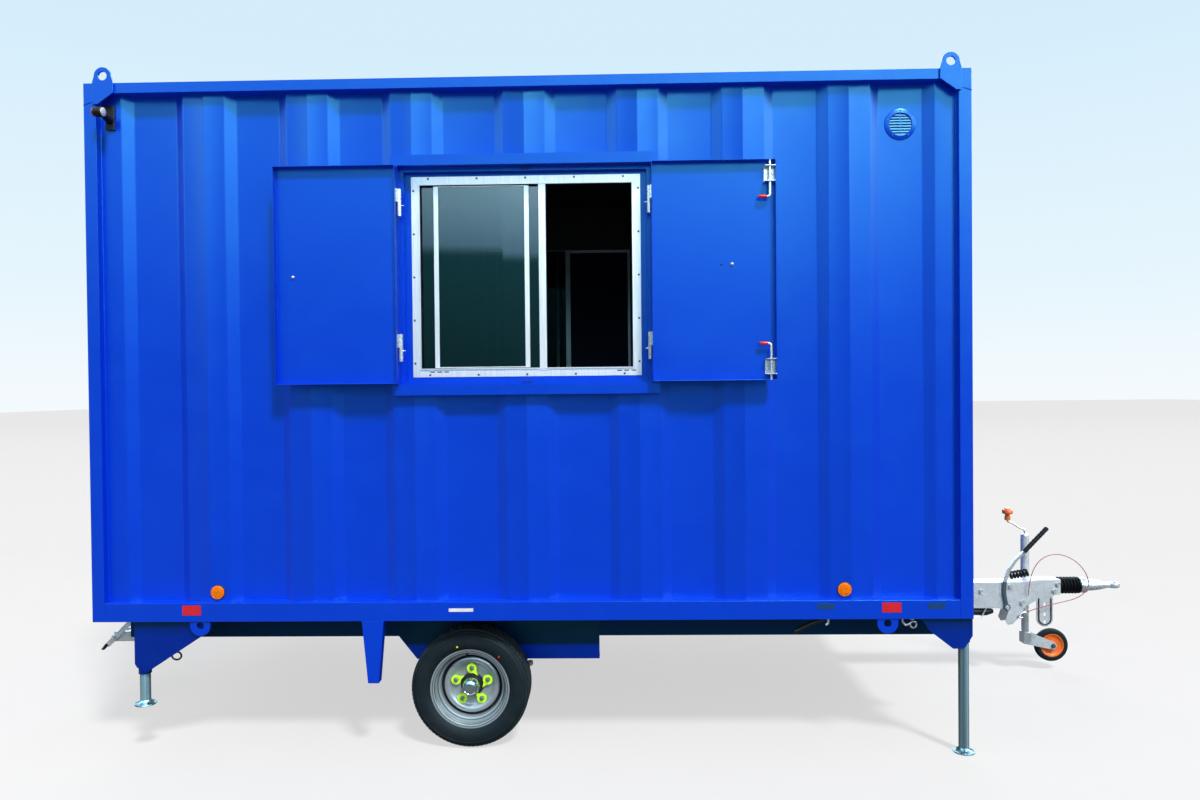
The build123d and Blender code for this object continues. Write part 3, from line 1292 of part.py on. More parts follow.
def handbrake_lever():
    """A bent flat lever on a pivot eye, with a round grip."""
    points = [(x, LEVER_Y, z) for x, z in lever_path()]
    path = FilletPolyline(*points, radius=60)
    section = Plane(origin=points[0], x_dir=(0, 1, 0), z_dir=Vector(*points[1]) - Vector(*points[0]))
    bar = sweep(section * Rectangle(LEVER_THICKNESS, LEVER_WIDTH), path=path)
    end = Vector(*points[-1])
    along = (end - Vector(*points[-2])).normalized()
    start = end - along * GRIP_LENGTH
    grip = rod(GRIP_RADIUS, tuple(start), tuple(end))
    y0 = LEVER_Y - LEVER_THICKNESS / 2
    y1 = LEVER_Y + LEVER_THICKNESS / 2
    eye = rod(LEVER_EYE_RADIUS, (LEVER_PIVOT_X, y0, LEVER_PIVOT_Z), (LEVER_PIVOT_X, y1, LEVER_PIVOT_Z))
    bore = rod(LEVER_PIN_RADIUS + STUB_CLEARANCE, (LEVER_PIVOT_X, y0 - 1, LEVER_PIVOT_Z),
               (LEVER_PIVOT_X, y1 + 1, LEVER_PIVOT_Z))
    return bar + grip + eye - bore


def brake_spring_cylinder():
    """The black spring cylinder under the pole, on two short straps."""
    z = CYLINDER_Z
    body = rod(CYLINDER_RADIUS, (CYLINDER_START, 0, z), (CYLINDER_END, 0, z))
    pole_bottom = POLE_TOP - POLE_HEIGHT
    for x in (CYLINDER_START + CYLINDER_STRAP, CYLINDER_END - 2 * CYLINDER_STRAP):
        body = body + block(x, x + CYLINDER_STRAP, -10, 10, z, pole_bottom)
    return body


def jockey_clamp():
    """The clamp on the housing's side that holds the jockey tube."""
    half = JOCKEY_TUBE_RADIUS + JOCKEY_CLAMP_WALL
    low = COUPLING_AXIS_Z - JOCKEY_CLAMP_HEIGHT * 0.75
    high = low + JOCKEY_CLAMP_HEIGHT
    clamp = block(JOCKEY_X - half, JOCKEY_X + half, POLE_WIDTH / 2 - 1, JOCKEY_Y + half, low, high)
    bore = rod(JOCKEY_TUBE_RADIUS + JOCKEY_CLEARANCE, (JOCKEY_X, JOCKEY_Y, low - 1), (JOCKEY_X, JOCKEY_Y, high + 1))
    return clamp - bore


def jockey_tube():
    """The outer tube of the jockey wheel."""
    low = (JOCKEY_X, JOCKEY_Y, JOCKEY_TUBE_BOTTOM)
    high = (JOCKEY_X, JOCKEY_Y, JOCKEY_TUBE_TOP)
    return rod(JOCKEY_TUBE_RADIUS, low, high) - rod(JOCKEY_TUBE_RADIUS - JOCKEY_TUBE_WALL, low, high)


def jockey_nut():
    """The spindle nut that the crank raises and lowers inside the outer tube."""
    radius = JOCKEY_TUBE_RADIUS - JOCKEY_TUBE_WALL - JOCKEY_CLEARANCE
    low = JOCKEY_INNER_TOP + LEG_CLEARANCE
    return rod(radius, (JOCKEY_X, JOCKEY_Y, low), (JOCKEY_X, JOCKEY_Y, low + JOCKEY_NUT_HEIGHT))


def jockey_fork():
    """The inner tube with two trailing fork plates and the pin of the small wheel."""
    radius = JOCKEY_TUBE_RADIUS - JOCKEY_TUBE_WALL - JOCKEY_CLEARANCE
    tube = rod(radius, (JOCKEY_X, JOCKEY_Y, JOCKEY_INNER_BOTTOM), (JOCKEY_X, JOCKEY_Y, JOCKEY_INNER_TOP))
    axle_x = JOCKEY_X + JOCKEY_TRAIL
    inside = JOCKEY_WHEEL_WIDTH / 2 + JOCKEY_FORK_GAP
    outside = inside + JOCKEY_FORK_PLATE
    outline = [
        (JOCKEY_X - radius, JOCKEY_INNER_BOTTOM),
        (JOCKEY_X - radius, JOCKEY_INNER_BOTTOM + 66),
        (JOCKEY_X + radius, JOCKEY_INNER_BOTTOM + 66),
        (axle_x + 6, JOCKEY_AXLE_Z + 24),
        (axle_x + 24, JOCKEY_AXLE_Z),
        (axle_x + 6, JOCKEY_AXLE_Z - 24),
    ]
    fork = tube
    for side in (-1, 1):
        inner = JOCKEY_Y + side * inside
        outer = JOCKEY_Y + side * outside
        fork = fork + side_plate(outline, min(inner, outer), max(inner, outer))
    bridge_front = axle_x - JOCKEY_WHEEL_RADIUS - JOCKEY_FORK_GAP
    bridge = block(JOCKEY_X - radius, min(JOCKEY_X + radius, bridge_front), JOCKEY_Y - outside, JOCKEY_Y + outside,
                   JOCKEY_INNER_BOTTOM, JOCKEY_INNER_BOTTOM + 66)
    pin = rod(JOCKEY_PIN_RADIUS, (axle_x, JOCKEY_Y - outside - 6, JOCKEY_AXLE_Z),
              (axle_x, JOCKEY_Y + outside + 6, JOCKEY_AXLE_Z))
    return fork + bridge + pin


def jockey_wheel():
    """The small solid-tyred wheel with a dished hub."""
    half = JOCKEY_WHEEL_WIDTH / 2
    r = JOCKEY_WHEEL_RADIUS
    bore = JOCKEY_PIN_RADIUS + STUB_CLEARANCE
    profile = [
        (bore, 0),
        (bore + 14, 0),
        (bore + 18, 10),
        (JOCKEY_HUB_RADIUS - 12, 10),
        (JOCKEY_HUB_RADIUS - 4, 2),
        (JOCKEY_HUB_RADIUS, 2),
        (r - 12, 0),
        (r - 3, 8),
        (r, half),
        (r - 3, 2 * half - 8),
        (r - 12, 2 * half),
        (JOCKEY_HUB_RADIUS, 2 * half - 2),
        (JOCKEY_HUB_RADIUS - 4, 2 * half - 2),
        (JOCKEY_HUB_RADIUS - 12, 2 * half - 10),
        (bore + 18, 2 * half - 10),
        (bore + 14, 2 * half),
        (bore, 2 * half),
    ]
    return spun(profile, JOCKEY_X + JOCKEY_TRAIL, JOCKEY_Y - half, JOCKEY_AXLE_Z)


def jockey_crank():
    """The cap on the tube's head with the cranked handle and its knob."""
    base = JOCKEY_TUBE_TOP + LEG_CLEARANCE
    cap = rod(JOCKEY_TUBE_RADIUS - 1, (JOCKEY_X, JOCKEY_Y, base), (JOCKEY_X, JOCKEY_Y, base + JOCKEY_CAP_HEIGHT))
    elbow = base + JOCKEY_CAP_HEIGHT + 26
    points = [
        (JOCKEY_X, JOCKEY_Y, base + JOCKEY_CAP_HEIGHT - 2),
        (JOCKEY_X, JOCKEY_Y, elbow),
        (JOCKEY_X - CRANK_OFFSET, JOCKEY_Y, elbow + CRANK_RISE),
        (JOCKEY_X - CRANK_OFFSET, JOCKEY_Y, elbow + CRANK_RISE + 24),
    ]
    path = FilletPolyline(*points, radius=10)
    arm = sweep(Plane(origin=points[0], z_dir=(0, 0, 1)) * Circle(CRANK_ROD_RADIUS), path=path)
    foot = elbow + CRANK_RISE + 20
    knob = rod(KNOB_RADIUS * 0.55, (points[2][0], JOCKEY_Y, foot), (points[2][0], JOCKEY_Y, foot + KNOB_HEIGHT))
    head = rod(KNOB_RADIUS, (points[2][0], JOCKEY_Y, foot + KNOB_HEIGHT * 0.5),
               (points[2][0], JOCKEY_Y, foot + KNOB_HEIGHT))
    return cap + arm + knob + head


def cable_route():
    """The points that the loose red breakaway cable follows, from its clip round to the housing."""
    return [
        (4925, -53, 385),
        (4962, -66, 402),
        (5010, -74, 424),
        (5062, -76, 436),
        (5118, -76, 452),
        (5176, -76, 464),
        (5234, -76, 480),
        (5284, -76, 510),
        (5312, -74, 556),
        (5306, -70, 610),
        (5280, -64, 660),
        (5238, -60, 702),
        (5186, -58, 730),
        (5128, -58, 742),
        (5072, -60, 732),
        (5024, -64, 702),
        (4990, -70, 656),
        (4970, -74, 604),
        (4962, -72, 548),
        (4962, -60, 498),
    ]


def breakaway_cable():
    """The cable as straight runs joined by the largest arcs that fit."""
    points = [Vector(*p) for p in cable_route()]
    radii = []
    for before, here, after in zip(points, points[1:], points[2:]):
        first = here - before
        second = after - here
        turn = math.radians(first.get_angle(second))
        radii.append(0.45 * min(first.length, second.length) / math.tan(turn / 2))
    path = FilletPolyline(*points, radius=radii)
    start = Plane(origin=points[0], z_dir=points[1] - points[0])
    print("cable length", round(path.length), "smallest radius", round(min(radii)))
    return sweep(start * Circle(CABLE_RADIUS), path=path)


def build_pieces():
    """Every node of the cabin, by name."""
    vents = vent()
    lamp = marker_lamp()
    tail = tail_lamp()
    panes = window_panes()
    right_leaves = several([moving_hinge_half(level) for level in hinge_levels()])
    fixed_halves = [fixed_hinge_half(level) for level in hinge_levels()]
    far = far_shutter()
    return {
        "corner_posts": corner_posts(),
        "top_rails": rails(WALL_TOP, ROOF_LEVEL, TUBE_WALL),
        "bottom_rails": rails(UNDERSIDE, WALL_BOTTOM, TUBE_WALL),
        "lifting_eyes": lifting_eyes(),
        "near_wall": several(side_wall()),
        "far_wall": several([across(piece) for piece in side_wall()]),
        "front_wall": front_wall(),
        "rear_wall": rear_wall(),
        "rear_door_frame": rear_door_frame(),
        "rear_door": rear_door(),
        "roof_sheet": roof_sheet(),
        "ceiling": ceiling(),
        "floor_deck": floor_deck(),
        "lining_boards": lining_boards(),
        "window_surrounds": on_both_sides(window_surround()),
        "window_frames": on_both_sides(window_frame()),
        "window_sashes": on_both_sides(window_sash()),
        "window_glass": several(panes + [across(pane) for pane in panes]),
        "near_shutter_left": left_shutter(),
        "near_shutter_right": right_shutter(),
        "shutter_hinge_pins": several(fixed_halves + [mirror_about_window(half) for half in fixed_halves]),
        "left_hinge_leaves": mirror_about_window(right_leaves),
        "right_hinge_leaves": right_leaves,
        "far_shutters": several([far, mirror_about_window(far)]),
        "bolt_housings": bolt_housings(),
        "upper_shoot_bolt": shoot_bolt(1),
        "lower_shoot_bolt": shoot_bolt(-1),
        "vents": on_both_sides(vents),
        "side_reflectors": side_reflectors(),
        "road_lamps": several([lamp, across(lamp), tail, across(tail)]),
        "tie_down_eyes": tie_down_eyes(),
        "chassis_rails": on_both_sides(chassis_rail()),
        "floor_bearers": floor_bearers(),
        "side_beams": on_both_sides(side_beam()),
        "axle": axle(),
        "stand_legs": on_both_sides(stand_leg()),
        "leg_brackets": leg_brackets(),
        "front_leg_near": front_leg(),
        "front_leg_far": across(front_leg()),
        "rear_leg_near": rear_leg(),
        "rear_leg_far": across(rear_leg()),
        "rear_step": rear_step(),
        "near_tyre": tyre(),
        "far_tyre": across(tyre()),
        "near_rim": rim(),
        "far_rim": across(rim()),
        "drawbar_pole": drawbar_pole(),
        "pole_carriers": pole_carriers(),
        "coupling_housing": coupling_housing(),
        "coupling_eye": coupling_eye(),
        "bellows": bellows(),
        "handbrake_lever": handbrake_lever(),
        "brake_spring_cylinder": brake_spring_cylinder(),
        "jockey_tube": jockey_tube(),
        "jockey_nut": jockey_nut(),
        "jockey_fork": jockey_fork(),
        "jockey_wheel": jockey_wheel(),
        "jockey_crank": jockey_crank(),
        "breakaway_cable": breakaway_cable(),
    }


def footprint_middle(pieces):
    """The point on the ground under the middle of everything."""
    boxes = [piece.bounding_box() for piece in pieces.values()]
    x = (min(b.min.X for b in boxes) + max(b.max.X for b in boxes)) / 2
    y = (min(b.min.Y for b in boxes) + max(b.max.Y for b in boxes)) / 2
    return x, y, min(b.min.Z for b in boxes)


PIECES = build_pieces()
MIDDLE = footprint_middle(PIECES)
os.makedirs("parts", exist_ok=True)
for name, piece in PIECES.items():
    export_step(Pos(-MIDDLE[0], -MIDDLE[1], -MIDDLE[2]) * piece, f"parts/{name}.step")
print("origin at", [round(value, 3) for value in MIDDLE])
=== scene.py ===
import json
import math

import bmesh
import bpy
from mathutils import Matrix, Vector


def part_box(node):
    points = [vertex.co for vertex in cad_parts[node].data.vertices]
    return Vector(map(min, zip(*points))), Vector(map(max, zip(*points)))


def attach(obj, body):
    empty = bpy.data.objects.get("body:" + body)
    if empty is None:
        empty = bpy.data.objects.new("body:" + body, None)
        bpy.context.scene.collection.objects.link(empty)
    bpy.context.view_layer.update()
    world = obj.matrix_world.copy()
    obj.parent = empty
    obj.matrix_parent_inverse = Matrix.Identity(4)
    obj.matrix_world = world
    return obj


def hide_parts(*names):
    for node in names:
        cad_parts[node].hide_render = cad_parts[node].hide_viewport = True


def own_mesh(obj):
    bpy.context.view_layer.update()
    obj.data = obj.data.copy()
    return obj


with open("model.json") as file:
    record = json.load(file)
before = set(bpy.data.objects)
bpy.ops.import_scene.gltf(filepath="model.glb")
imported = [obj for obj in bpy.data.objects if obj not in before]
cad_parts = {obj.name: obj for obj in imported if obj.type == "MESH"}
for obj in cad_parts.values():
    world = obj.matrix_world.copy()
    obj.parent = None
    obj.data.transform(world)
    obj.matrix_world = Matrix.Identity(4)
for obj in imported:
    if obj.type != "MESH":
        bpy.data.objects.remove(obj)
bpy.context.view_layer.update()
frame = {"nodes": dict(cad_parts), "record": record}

# Shapes are drawn in millimetres: X from the body's rear end, Y from the middle, Z from the ground.
REAR_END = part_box("corner_posts")[0].x
NODE_BODY = {node: body for body, nodes in frame["record"]["behaviour"]["bodies"].items() for node in nodes}
NODE_SLOT = {entry["node"]: entry["material_slot"] for entry in frame["record"]["subparts"]}

# The steel body.
LENGTH = 4200
HALF_WIDTH = 1145
HEIGHT = 2580
BOTTOM_RAIL = 90
TOP_RAIL = 50
POST = 60
POST_ACROSS = 100
UNDERSIDE = round(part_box("corner_posts")[0].z * 1000)
SILL = UNDERSIDE + BOTTOM_RAIL
ROOF = UNDERSIDE + HEIGHT
RAIL_UNDER_ROOF = ROOF - TOP_RAIL

# The pressed sheets of the walls.
SHEET = 2.0
RIB_DEPTH = 32.0
RIB_MARGIN = 100
RIB_SLOPE = 46
BEND_EASE = 5.0
LONG_WALL_SET_BACK = 38
END_WALL_SET_BACK = 12
LONG_WALL_PITCHES = [500] * 3 + [540] * 2 + [500] * 3
END_WALL_RIBS = 4
DOOR_CUT_HALF = 475
DOOR_CUT_TOP = SILL + 2035

# The window, its shutters and their shoot bolts.
WINDOW_X = 2100
WINDOW_Z = ROOF - 934
WINDOW_CUT_HALF_WIDTH = 635
WINDOW_CUT_HALF_HEIGHT = 570
WINDOW_FRONT = -(HALF_WIDTH - 77)
WINDOW_BACK = -(HALF_WIDTH - 112)
MULLION_X = WINDOW_X + 79
SHUTTER_FACE = -1153.5
HINGE_REACH = 591.7
BOLT_X = 3253.4
BOLT_Y = -1179.5

# The road wheels.
AXLE = (1800, 290)
WHEEL_FACE = 1065
TYRE_HALF_WIDTH = 91
TREAD_COUNT = 84
NUT_COUNT = 5
NUT_RING = 82.5

# The drawbar, its coupling and the jockey wheel.
COUPLING_Z = 543
HOUSING_SIDE = -50
HOUSING_FRONT = 5158
EYE_X = 5493
LEVER_PIVOT = (4838, 425)
LEVER_Y = -59
JOCKEY = (5017, 100)
JOCKEY_TRAIL = 155


def metres(x, y, z):
    """A point of the cabin, in the frame's metres."""
    return Vector((REAR_END + x / 1000, y / 1000, z / 1000))


class Shape:
    """One piece's faces, gathered in millimetres."""

    def __init__(self):
        self.mesh = bmesh.new()
        self.paint = 0

    def corner(self, point):
        return self.mesh.verts.new(point)

    def face(self, corners):
        if len(set(corners)) < 3:
            return
        made = self.mesh.faces.new(corners)
        made.material_index = self.paint

    def skin(self, rings, round_and_round=False, ends=True):
        """Faces between rings of points; a ring of one point closes to a tip."""
        loops = [[self.corner(p) for p in ring] for ring in rings]
        pairs = list(zip(loops, loops[1:]))
        if round_and_round:
            pairs.append((loops[-1], loops[0]))
        for low, high in pairs:
            count = max(len(low), len(high))
            for i in range(count):
                j = (i + 1) % count
                a, b = low[i % len(low)], low[j % len(low)]
                c, d = high[j % len(high)], high[i % len(high)]
                self.face([v for k, v in enumerate((a, b, c, d)) if v not in (a, b, c, d)[:k]])
        if ends and not round_and_round:
            for loop in (loops[0][::-1], loops[-1]):
                if len(loop) > 2:
                    self.face(loop)
        return self

    def prism(self, outline, axis, start, end):
        """A flat outline pushed along an axis: (x, z) along Y, (x, y) along Z or (y, z) along X."""
        place = {"X": lambda p, d: (d, p[0], p[1]),
                 "Y": lambda p, d: (p[0], d, p[1]),
                 "Z": lambda p, d: (p[0], p[1], d)}[axis]
        return self.skin([[place(p, d) for p in outline] for d in (start, end)])

    def block(self, x0, x1, y0, y1, z0, z1):
        return self.prism([(x0, y0), (x1, y0), (x1, y1), (x0, y1)], "Z", z0, z1)

    def bevelled(self, x0, x1, y0, y1, z0, z1, cut):
        """A block with its four upright edges cut."""
        outline = [(x0 + cut, y0), (x1 - cut, y0), (x1, y0 + cut), (x1, y1 - cut),
                   (x1 - cut, y1), (x0 + cut, y1), (x0, y1 - cut), (x0, y0 + cut)]
        return self.prism(outline, "Z", z0, z1)

    def lathe(self, profile, centre, axis, steps=48, closed=False):
        """A turned shape: (radius, distance along the axis) points spun about a centre."""
        spin = {"X": lambda r, d, a: (d, r * math.cos(a), r * math.sin(a)),
                "Y": lambda r, d, a: (r * math.cos(a), d, r * math.sin(a)),
                "Z": lambda r, d, a: (r * math.cos(a), r * math.sin(a), d)}[axis]
        rings = []
        for radius, along in profile:
            count = steps if radius else 1
            turns = [2 * math.pi * i / count for i in range(count)]
            rings.append([Vector(centre) + Vector(spin(radius, along, turn)) for turn in turns])
        return self.skin(rings, round_and_round=closed)

    def tube(self, points, radius, sides=16, ends=True):
        """A round bar along a line of points; radius may be one number or one for each point."""
        points = [Vector(p) for p in points]
        radii = radius if isinstance(radius, (list, tuple)) else [radius] * len(points)
        rings = []
        side = None
        for i, point in enumerate(points):
            ahead = points[min(i + 1, len(points) - 1)] - points[max(i - 1, 0)]
            ahead.normalize()
            if side is None:
                side = ahead.orthogonal().normalized()
            side = (side - ahead * side.dot(ahead)).normalized()
            other = ahead.cross(side)
            turns = [2 * math.pi * k / sides for k in range(sides)]
            rings.append([point + radii[i] * (math.cos(t) * side + math.sin(t) * other) for t in turns])
        return self.skin(rings, ends=ends)

    def hexagon(self, centre, axis, across, height):
        """A nut or bolt head that stands on its centre along an axis, with its rim eased."""
        radius = across / math.sqrt(3)
        ease = min(height * 0.2, 1.5)
        sign = 1 if height > 0 else -1
        tall = abs(height)
        profile = [(radius, 0), (radius, tall - ease), (radius - ease, tall)]
        return self.lathe([(r, sign * d) for r, d in profile], centre, axis, steps=6)

    def twin(self):
        """Adds the same faces on the other side of the cabin."""
        drawn = self.mesh.verts[:] + self.mesh.edges[:] + self.mesh.faces[:]
        made = bmesh.ops.duplicate(self.mesh, geom=drawn)["geom"]
        for item in made:
            if isinstance(item, bmesh.types.BMVert):
                item.co.y = -item.co.y
        faces = [item for item in made if isinstance(item, bmesh.types.BMFace)]
        bmesh.ops.reverse_faces(self.mesh, faces=faces)
        return self

    def piece(self, name, body, finishes, slot, stands_for=(), edge=0.0, crease=38):
        """Ends the shape as a named piece that rides on a body."""
        bmesh.ops.recalc_face_normals(self.mesh, faces=self.mesh.faces)
        for vert in self.mesh.verts:
            vert.co = metres(*vert.co)
        data = bpy.data.meshes.new(name)
        self.mesh.to_mesh(data)
        self.mesh.free()
        made = bpy.data.objects.new(name, data)
        bpy.context.collection.objects.link(made)
        return dress(made, body, finishes, slot, stands_for, edge, crease)


def dress(made, body, finishes, slot, stands_for, edge, crease):
    """Gives a piece its finishes, soft edges and body."""
    for finish in finishes:
        made.data.materials.append(finish)
    for face in made.data.polygons:
        face.use_smooth = True
    made.data.set_sharp_from_angle(angle=math.radians(crease))
    if edge:
        ease = made.modifiers.new("eased edges", "BEVEL")
        ease.width = edge / 1000
        ease.segments = 2
        ease.limit_method = "ANGLE"
        ease.angle_limit = math.radians(40)
        ease.harden_normals = True
    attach(made, body)
    if stands_for:
        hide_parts(*stands_for)
    return made


def finished_node(node, surface, edge, inside=None):
    """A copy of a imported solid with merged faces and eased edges; its faces towards the room may differ."""
    data = frame["nodes"][node].data.copy()
    data.materials.clear()
    body = bmesh.new()
    body.from_mesh(data)
    bmesh.ops.remove_doubles(body, verts=body.verts, dist=2e-6)
    bmesh.ops.dissolve_limit(body, angle_limit=math.radians(0.6), verts=body.verts, edges=body.edges)
    body.to_mesh(data)
    body.free()
    for layer in list(data.attributes):
        if layer.name in ("custom_normal", "sharp_edge", "sharp_face"):
            data.attributes.remove(layer)
    finishes = [surface]
    if inside:
        finishes.append(inside)
        for face in data.polygons:
            face.material_index = 1 if face.normal.y * face.center.y < -0.5 else 0
    made = bpy.data.objects.new(node + "_finished", data)
    bpy.context.collection.objects.link(made)
    return dress(made, NODE_BODY[node], finishes, NODE_SLOT[node], [node], edge, crease=30)


class Value:
    """A shader socket that can be used in sums."""

    def __init__(self, mixer, socket):
        self.mixer = mixer
        self.socket = socket

    def sum_with(self, operation, first, second):
        return self.mixer.node("ShaderNodeMath", {"operation": operation}, {0: first, 1: second})

    def __add__(self, other):
        return self.sum_with("ADD", self, other)

    def __radd__(self, other):
        return self.sum_with("ADD", other, self)

    def __sub__(self, other):
        return self.sum_with("SUBTRACT", self, other)

    def __rsub__(self, other):
        return self.sum_with("SUBTRACT", other, self)

    def __mul__(self, other):
        return self.sum_with("MULTIPLY", self, other)

    def __rmul__(self, other):
        return self.sum_with("MULTIPLY", other, self)


class Mixer:
    """A material or world while its nodes are laid out."""

    def __init__(self, tree):
        self.tree = tree

    def node(self, kind, settings=None, inputs=None, output=0):
        """Adds one node: its settings first, then the values or links of its sockets."""
        made = self.tree.nodes.new(kind)
        for name, value in (settings or {}).items():
            if name == "stops":
                ramp = made.color_ramp
                while len(ramp.elements) < len(value):
                    ramp.elements.new(0.5)
                for element, (place, colour) in zip(ramp.elements, value):
                    element.position = place
                    element.color = colour
            else:
                setattr(made, name, value)
        for name, value in (inputs or {}).items():
            self.feed(made.inputs[name], value)
        return Value(self, made.outputs[output] if len(made.outputs) else None)

    def feed(self, socket, value):
        if isinstance(value, Value):
            self.tree.links.new(value.socket, socket)
        else:
            socket.default_value = value

    def place(self):
        return self.node("ShaderNodeTexCoord", output="Object")

    def noise(self, scale, detail=3.0, roughness=0.5, stretch=None):
        where = self.place()
        if stretch:
            where = self.node("ShaderNodeMapping", None, {"Vector": where, "Scale": stretch})
        sizes = {"Vector": where, "Scale": scale, "Detail": detail, "Roughness": roughness}
        return self.node("ShaderNodeTexNoise", None, sizes)

    def blend(self, factor, first, second):
        settings = {"data_type": "RGBA"}
        return self.node("ShaderNodeMix", settings, {0: factor, 6: first, 7: second}, output=2)

    def ramp(self, value, *stops):
        """A value passed through grey stops of (place, level)."""
        levels = [(place, (level, level, level, 1)) for place, level in stops]
        return self.node("ShaderNodeValToRGB", {"stops": levels}, {"Fac": value})

    def bump(self, height, depth, strength=1.0, below=None):
        inputs = {"Height": height, "Distance": depth, "Strength": strength}
        if below is not None:
            inputs["Normal"] = below
        return self.node("ShaderNodeBump", None, inputs)


def shade(colour, level):
    """A colour made lighter or darker, with its alpha kept."""
    return tuple(min(1.0, channel * level) for channel in colour[:3]) + (1.0,)


def finish(name, surface):
    """A new material with fixed values on its shader."""
    material = bpy.data.materials.new(name)
    material.use_nodes = True
    shader = material.node_tree.nodes["Principled BSDF"]
    for socket, value in surface.items():
        shader.inputs[socket].default_value = value
    mixer = Mixer(material.node_tree)
    return material, mixer, shader


# Dark navy of the painted shadow that the body casts on the underframe.
PAINTED_SHADOW_NAVY = (0.0, 0.004, 0.05, 1)


def gloss_paint(name, colour, roughness=0.3, dust=0.02, specular=0.5, tint=(1, 1, 1, 1),
                film=(0.30, 0.31, 0.32, 1), painted_shadow_above=None, fade=60.0):
    """Sprayed enamel: slight orange peel, soft waves, a little dust, and a painted shadow, dark navy above a
    height.
    """
    material, mix, shader = finish(name, {"Specular IOR Level": specular, "Specular Tint": tint})
    cloud = mix.noise(1.3, 4)
    worn = mix.noise(9.0, 6, 0.62)
    tone = mix.blend(mix.ramp(cloud, (0.3, 0.0), (0.7, 1.0)), shade(colour, 0.97), shade(colour, 1.03))
    settled = mix.ramp(worn, (0.45, 0.0), (0.8, 1.0)) * dust
    tone = mix.blend(settled, tone, film)
    # Painted shadow: the colour turns dark navy above a height, where the body shades the underframe.
    if painted_shadow_above:
        height = mix.node("ShaderNodeSeparateXYZ", None, {"Vector": mix.place()}, output="Z")
        painted_shadow_mask = mix.ramp((height - painted_shadow_above) * fade, (0.0, 0.0), (1.0, 1.0))
        tone = mix.blend(painted_shadow_mask, tone, PAINTED_SHADOW_NAVY)
    mix.feed(shader.inputs["Base Color"], tone)
    mix.feed(shader.inputs["Roughness"], worn * 0.16 + (roughness - 0.06))
    waves = mix.bump(mix.noise(2.2, 1.0), 0.004, 0.5)
    peel = mix.bump(mix.noise(420.0, 2.0), 0.00012, 0.6, waves)
    mix.feed(shader.inputs["Normal"], peel)
    return material


def zinc_coat(name, colour=(0.50, 0.56, 0.59, 1), metal=0.8, roughness=0.36, spangle=110.0):
    """Hot-dip zinc: large soft crystals in grey, mottled in gloss."""
    material, mix, shader = finish(name, {"Metallic": metal})
    crystal = mix.node("ShaderNodeTexVoronoi", {"feature": "F1"}, {"Vector": mix.place(), "Scale": spangle},
                       output="Color")
    grey = mix.node("ShaderNodeRGBToBW", None, {"Color": crystal})
    mottle = mix.noise(14.0, 5, 0.6)
    mixed = grey * 0.55 + mottle * 0.45
    tone = mix.blend(mix.ramp(mixed, (0.3, 0.0), (0.72, 1.0)), shade(colour, 0.88), shade(colour, 1.08))
    mix.feed(shader.inputs["Base Color"], tone)
    mix.feed(shader.inputs["Roughness"], mixed * 0.24 + (roughness - 0.12))
    mix.feed(shader.inputs["Normal"], mix.bump(mix.noise(95.0, 4.0), 0.0005, 0.5))
    return material


def bright_metal(name, colour, roughness, grain=(1, 1, 1), metal=1.0, scale=160.0, contrast=0.08):
    """Turned, drawn or plated metal with a fine grain along one way."""
    material, mix, shader = finish(name, {"Metallic": metal})
    lines = mix.noise(scale, 3, 0.6, stretch=grain)
    tone = mix.blend(mix.ramp(lines, (0.35, 0.0), (0.65, 1.0)), shade(colour, 1 - contrast),
                     shade(colour, 1 + contrast))
    mix.feed(shader.inputs["Base Color"], tone)
    mix.feed(shader.inputs["Roughness"], lines * 0.14 + (roughness - 0.05))
    mix.feed(shader.inputs["Normal"], mix.bump(lines, 0.0002, 0.35))
    return material


def rubber(name, colour=(0.016, 0.017, 0.019, 1), roughness=0.62, scale=240.0, dust=0.3, specular=0.3):
    """Black rubber with a fine skin, dust in its hollows."""
    material, mix, shader = finish(name, {"Specular IOR Level": specular})
    grime = mix.noise(11.0, 5, 0.65)
    tone = mix.blend(mix.ramp(grime, (0.5, 0.0), (0.85, dust)), colour, (0.10, 0.10, 0.095, 1))
    mix.feed(shader.inputs["Base Color"], tone)
    mix.feed(shader.inputs["Roughness"], grime * 0.2 + (roughness - 0.1))
    mix.feed(shader.inputs["Normal"], mix.bump(mix.noise(scale, 3.0), 0.0003, 0.6))
    return material


def plastic(name, colour, roughness=0.35, glow=None):
    """Moulded plastic with a faint flow pattern."""
    material, mix, shader = finish(name, {"Specular IOR Level": 0.5})
    cloud = mix.noise(30.0, 3)
    tone = mix.blend(mix.ramp(cloud, (0.3, 0.0), (0.7, 1.0)), shade(colour, 0.9), shade(colour, 1.08))
    mix.feed(shader.inputs["Base Color"], tone)
    mix.feed(shader.inputs["Roughness"], cloud * 0.12 + (roughness - 0.05))
    mix.feed(shader.inputs["Normal"], mix.bump(mix.noise(300.0, 2.0), 0.00015, 0.4))
    # An optional glow: painted light for a part that is no lamp.
    if glow:
        shader.inputs["Emission Color"].default_value = colour
        shader.inputs["Emission Strength"].default_value = glow
    return material


def board(name, colour, scale, stretch, roughness=0.5, depth=0.0002):
    """A faced board: faint print and joints in gloss."""
    material, mix, shader = finish(name, {})
    lines = mix.noise(scale, 5, 0.6, stretch=stretch)
    mix.feed(shader.inputs["Base Color"], mix.blend(lines, shade(colour, 0.86), shade(colour, 1.08)))
    mix.feed(shader.inputs["Roughness"], lines * 0.2 + (roughness - 0.1))
    mix.feed(shader.inputs["Normal"], mix.bump(lines, depth, 0.5))
    return material


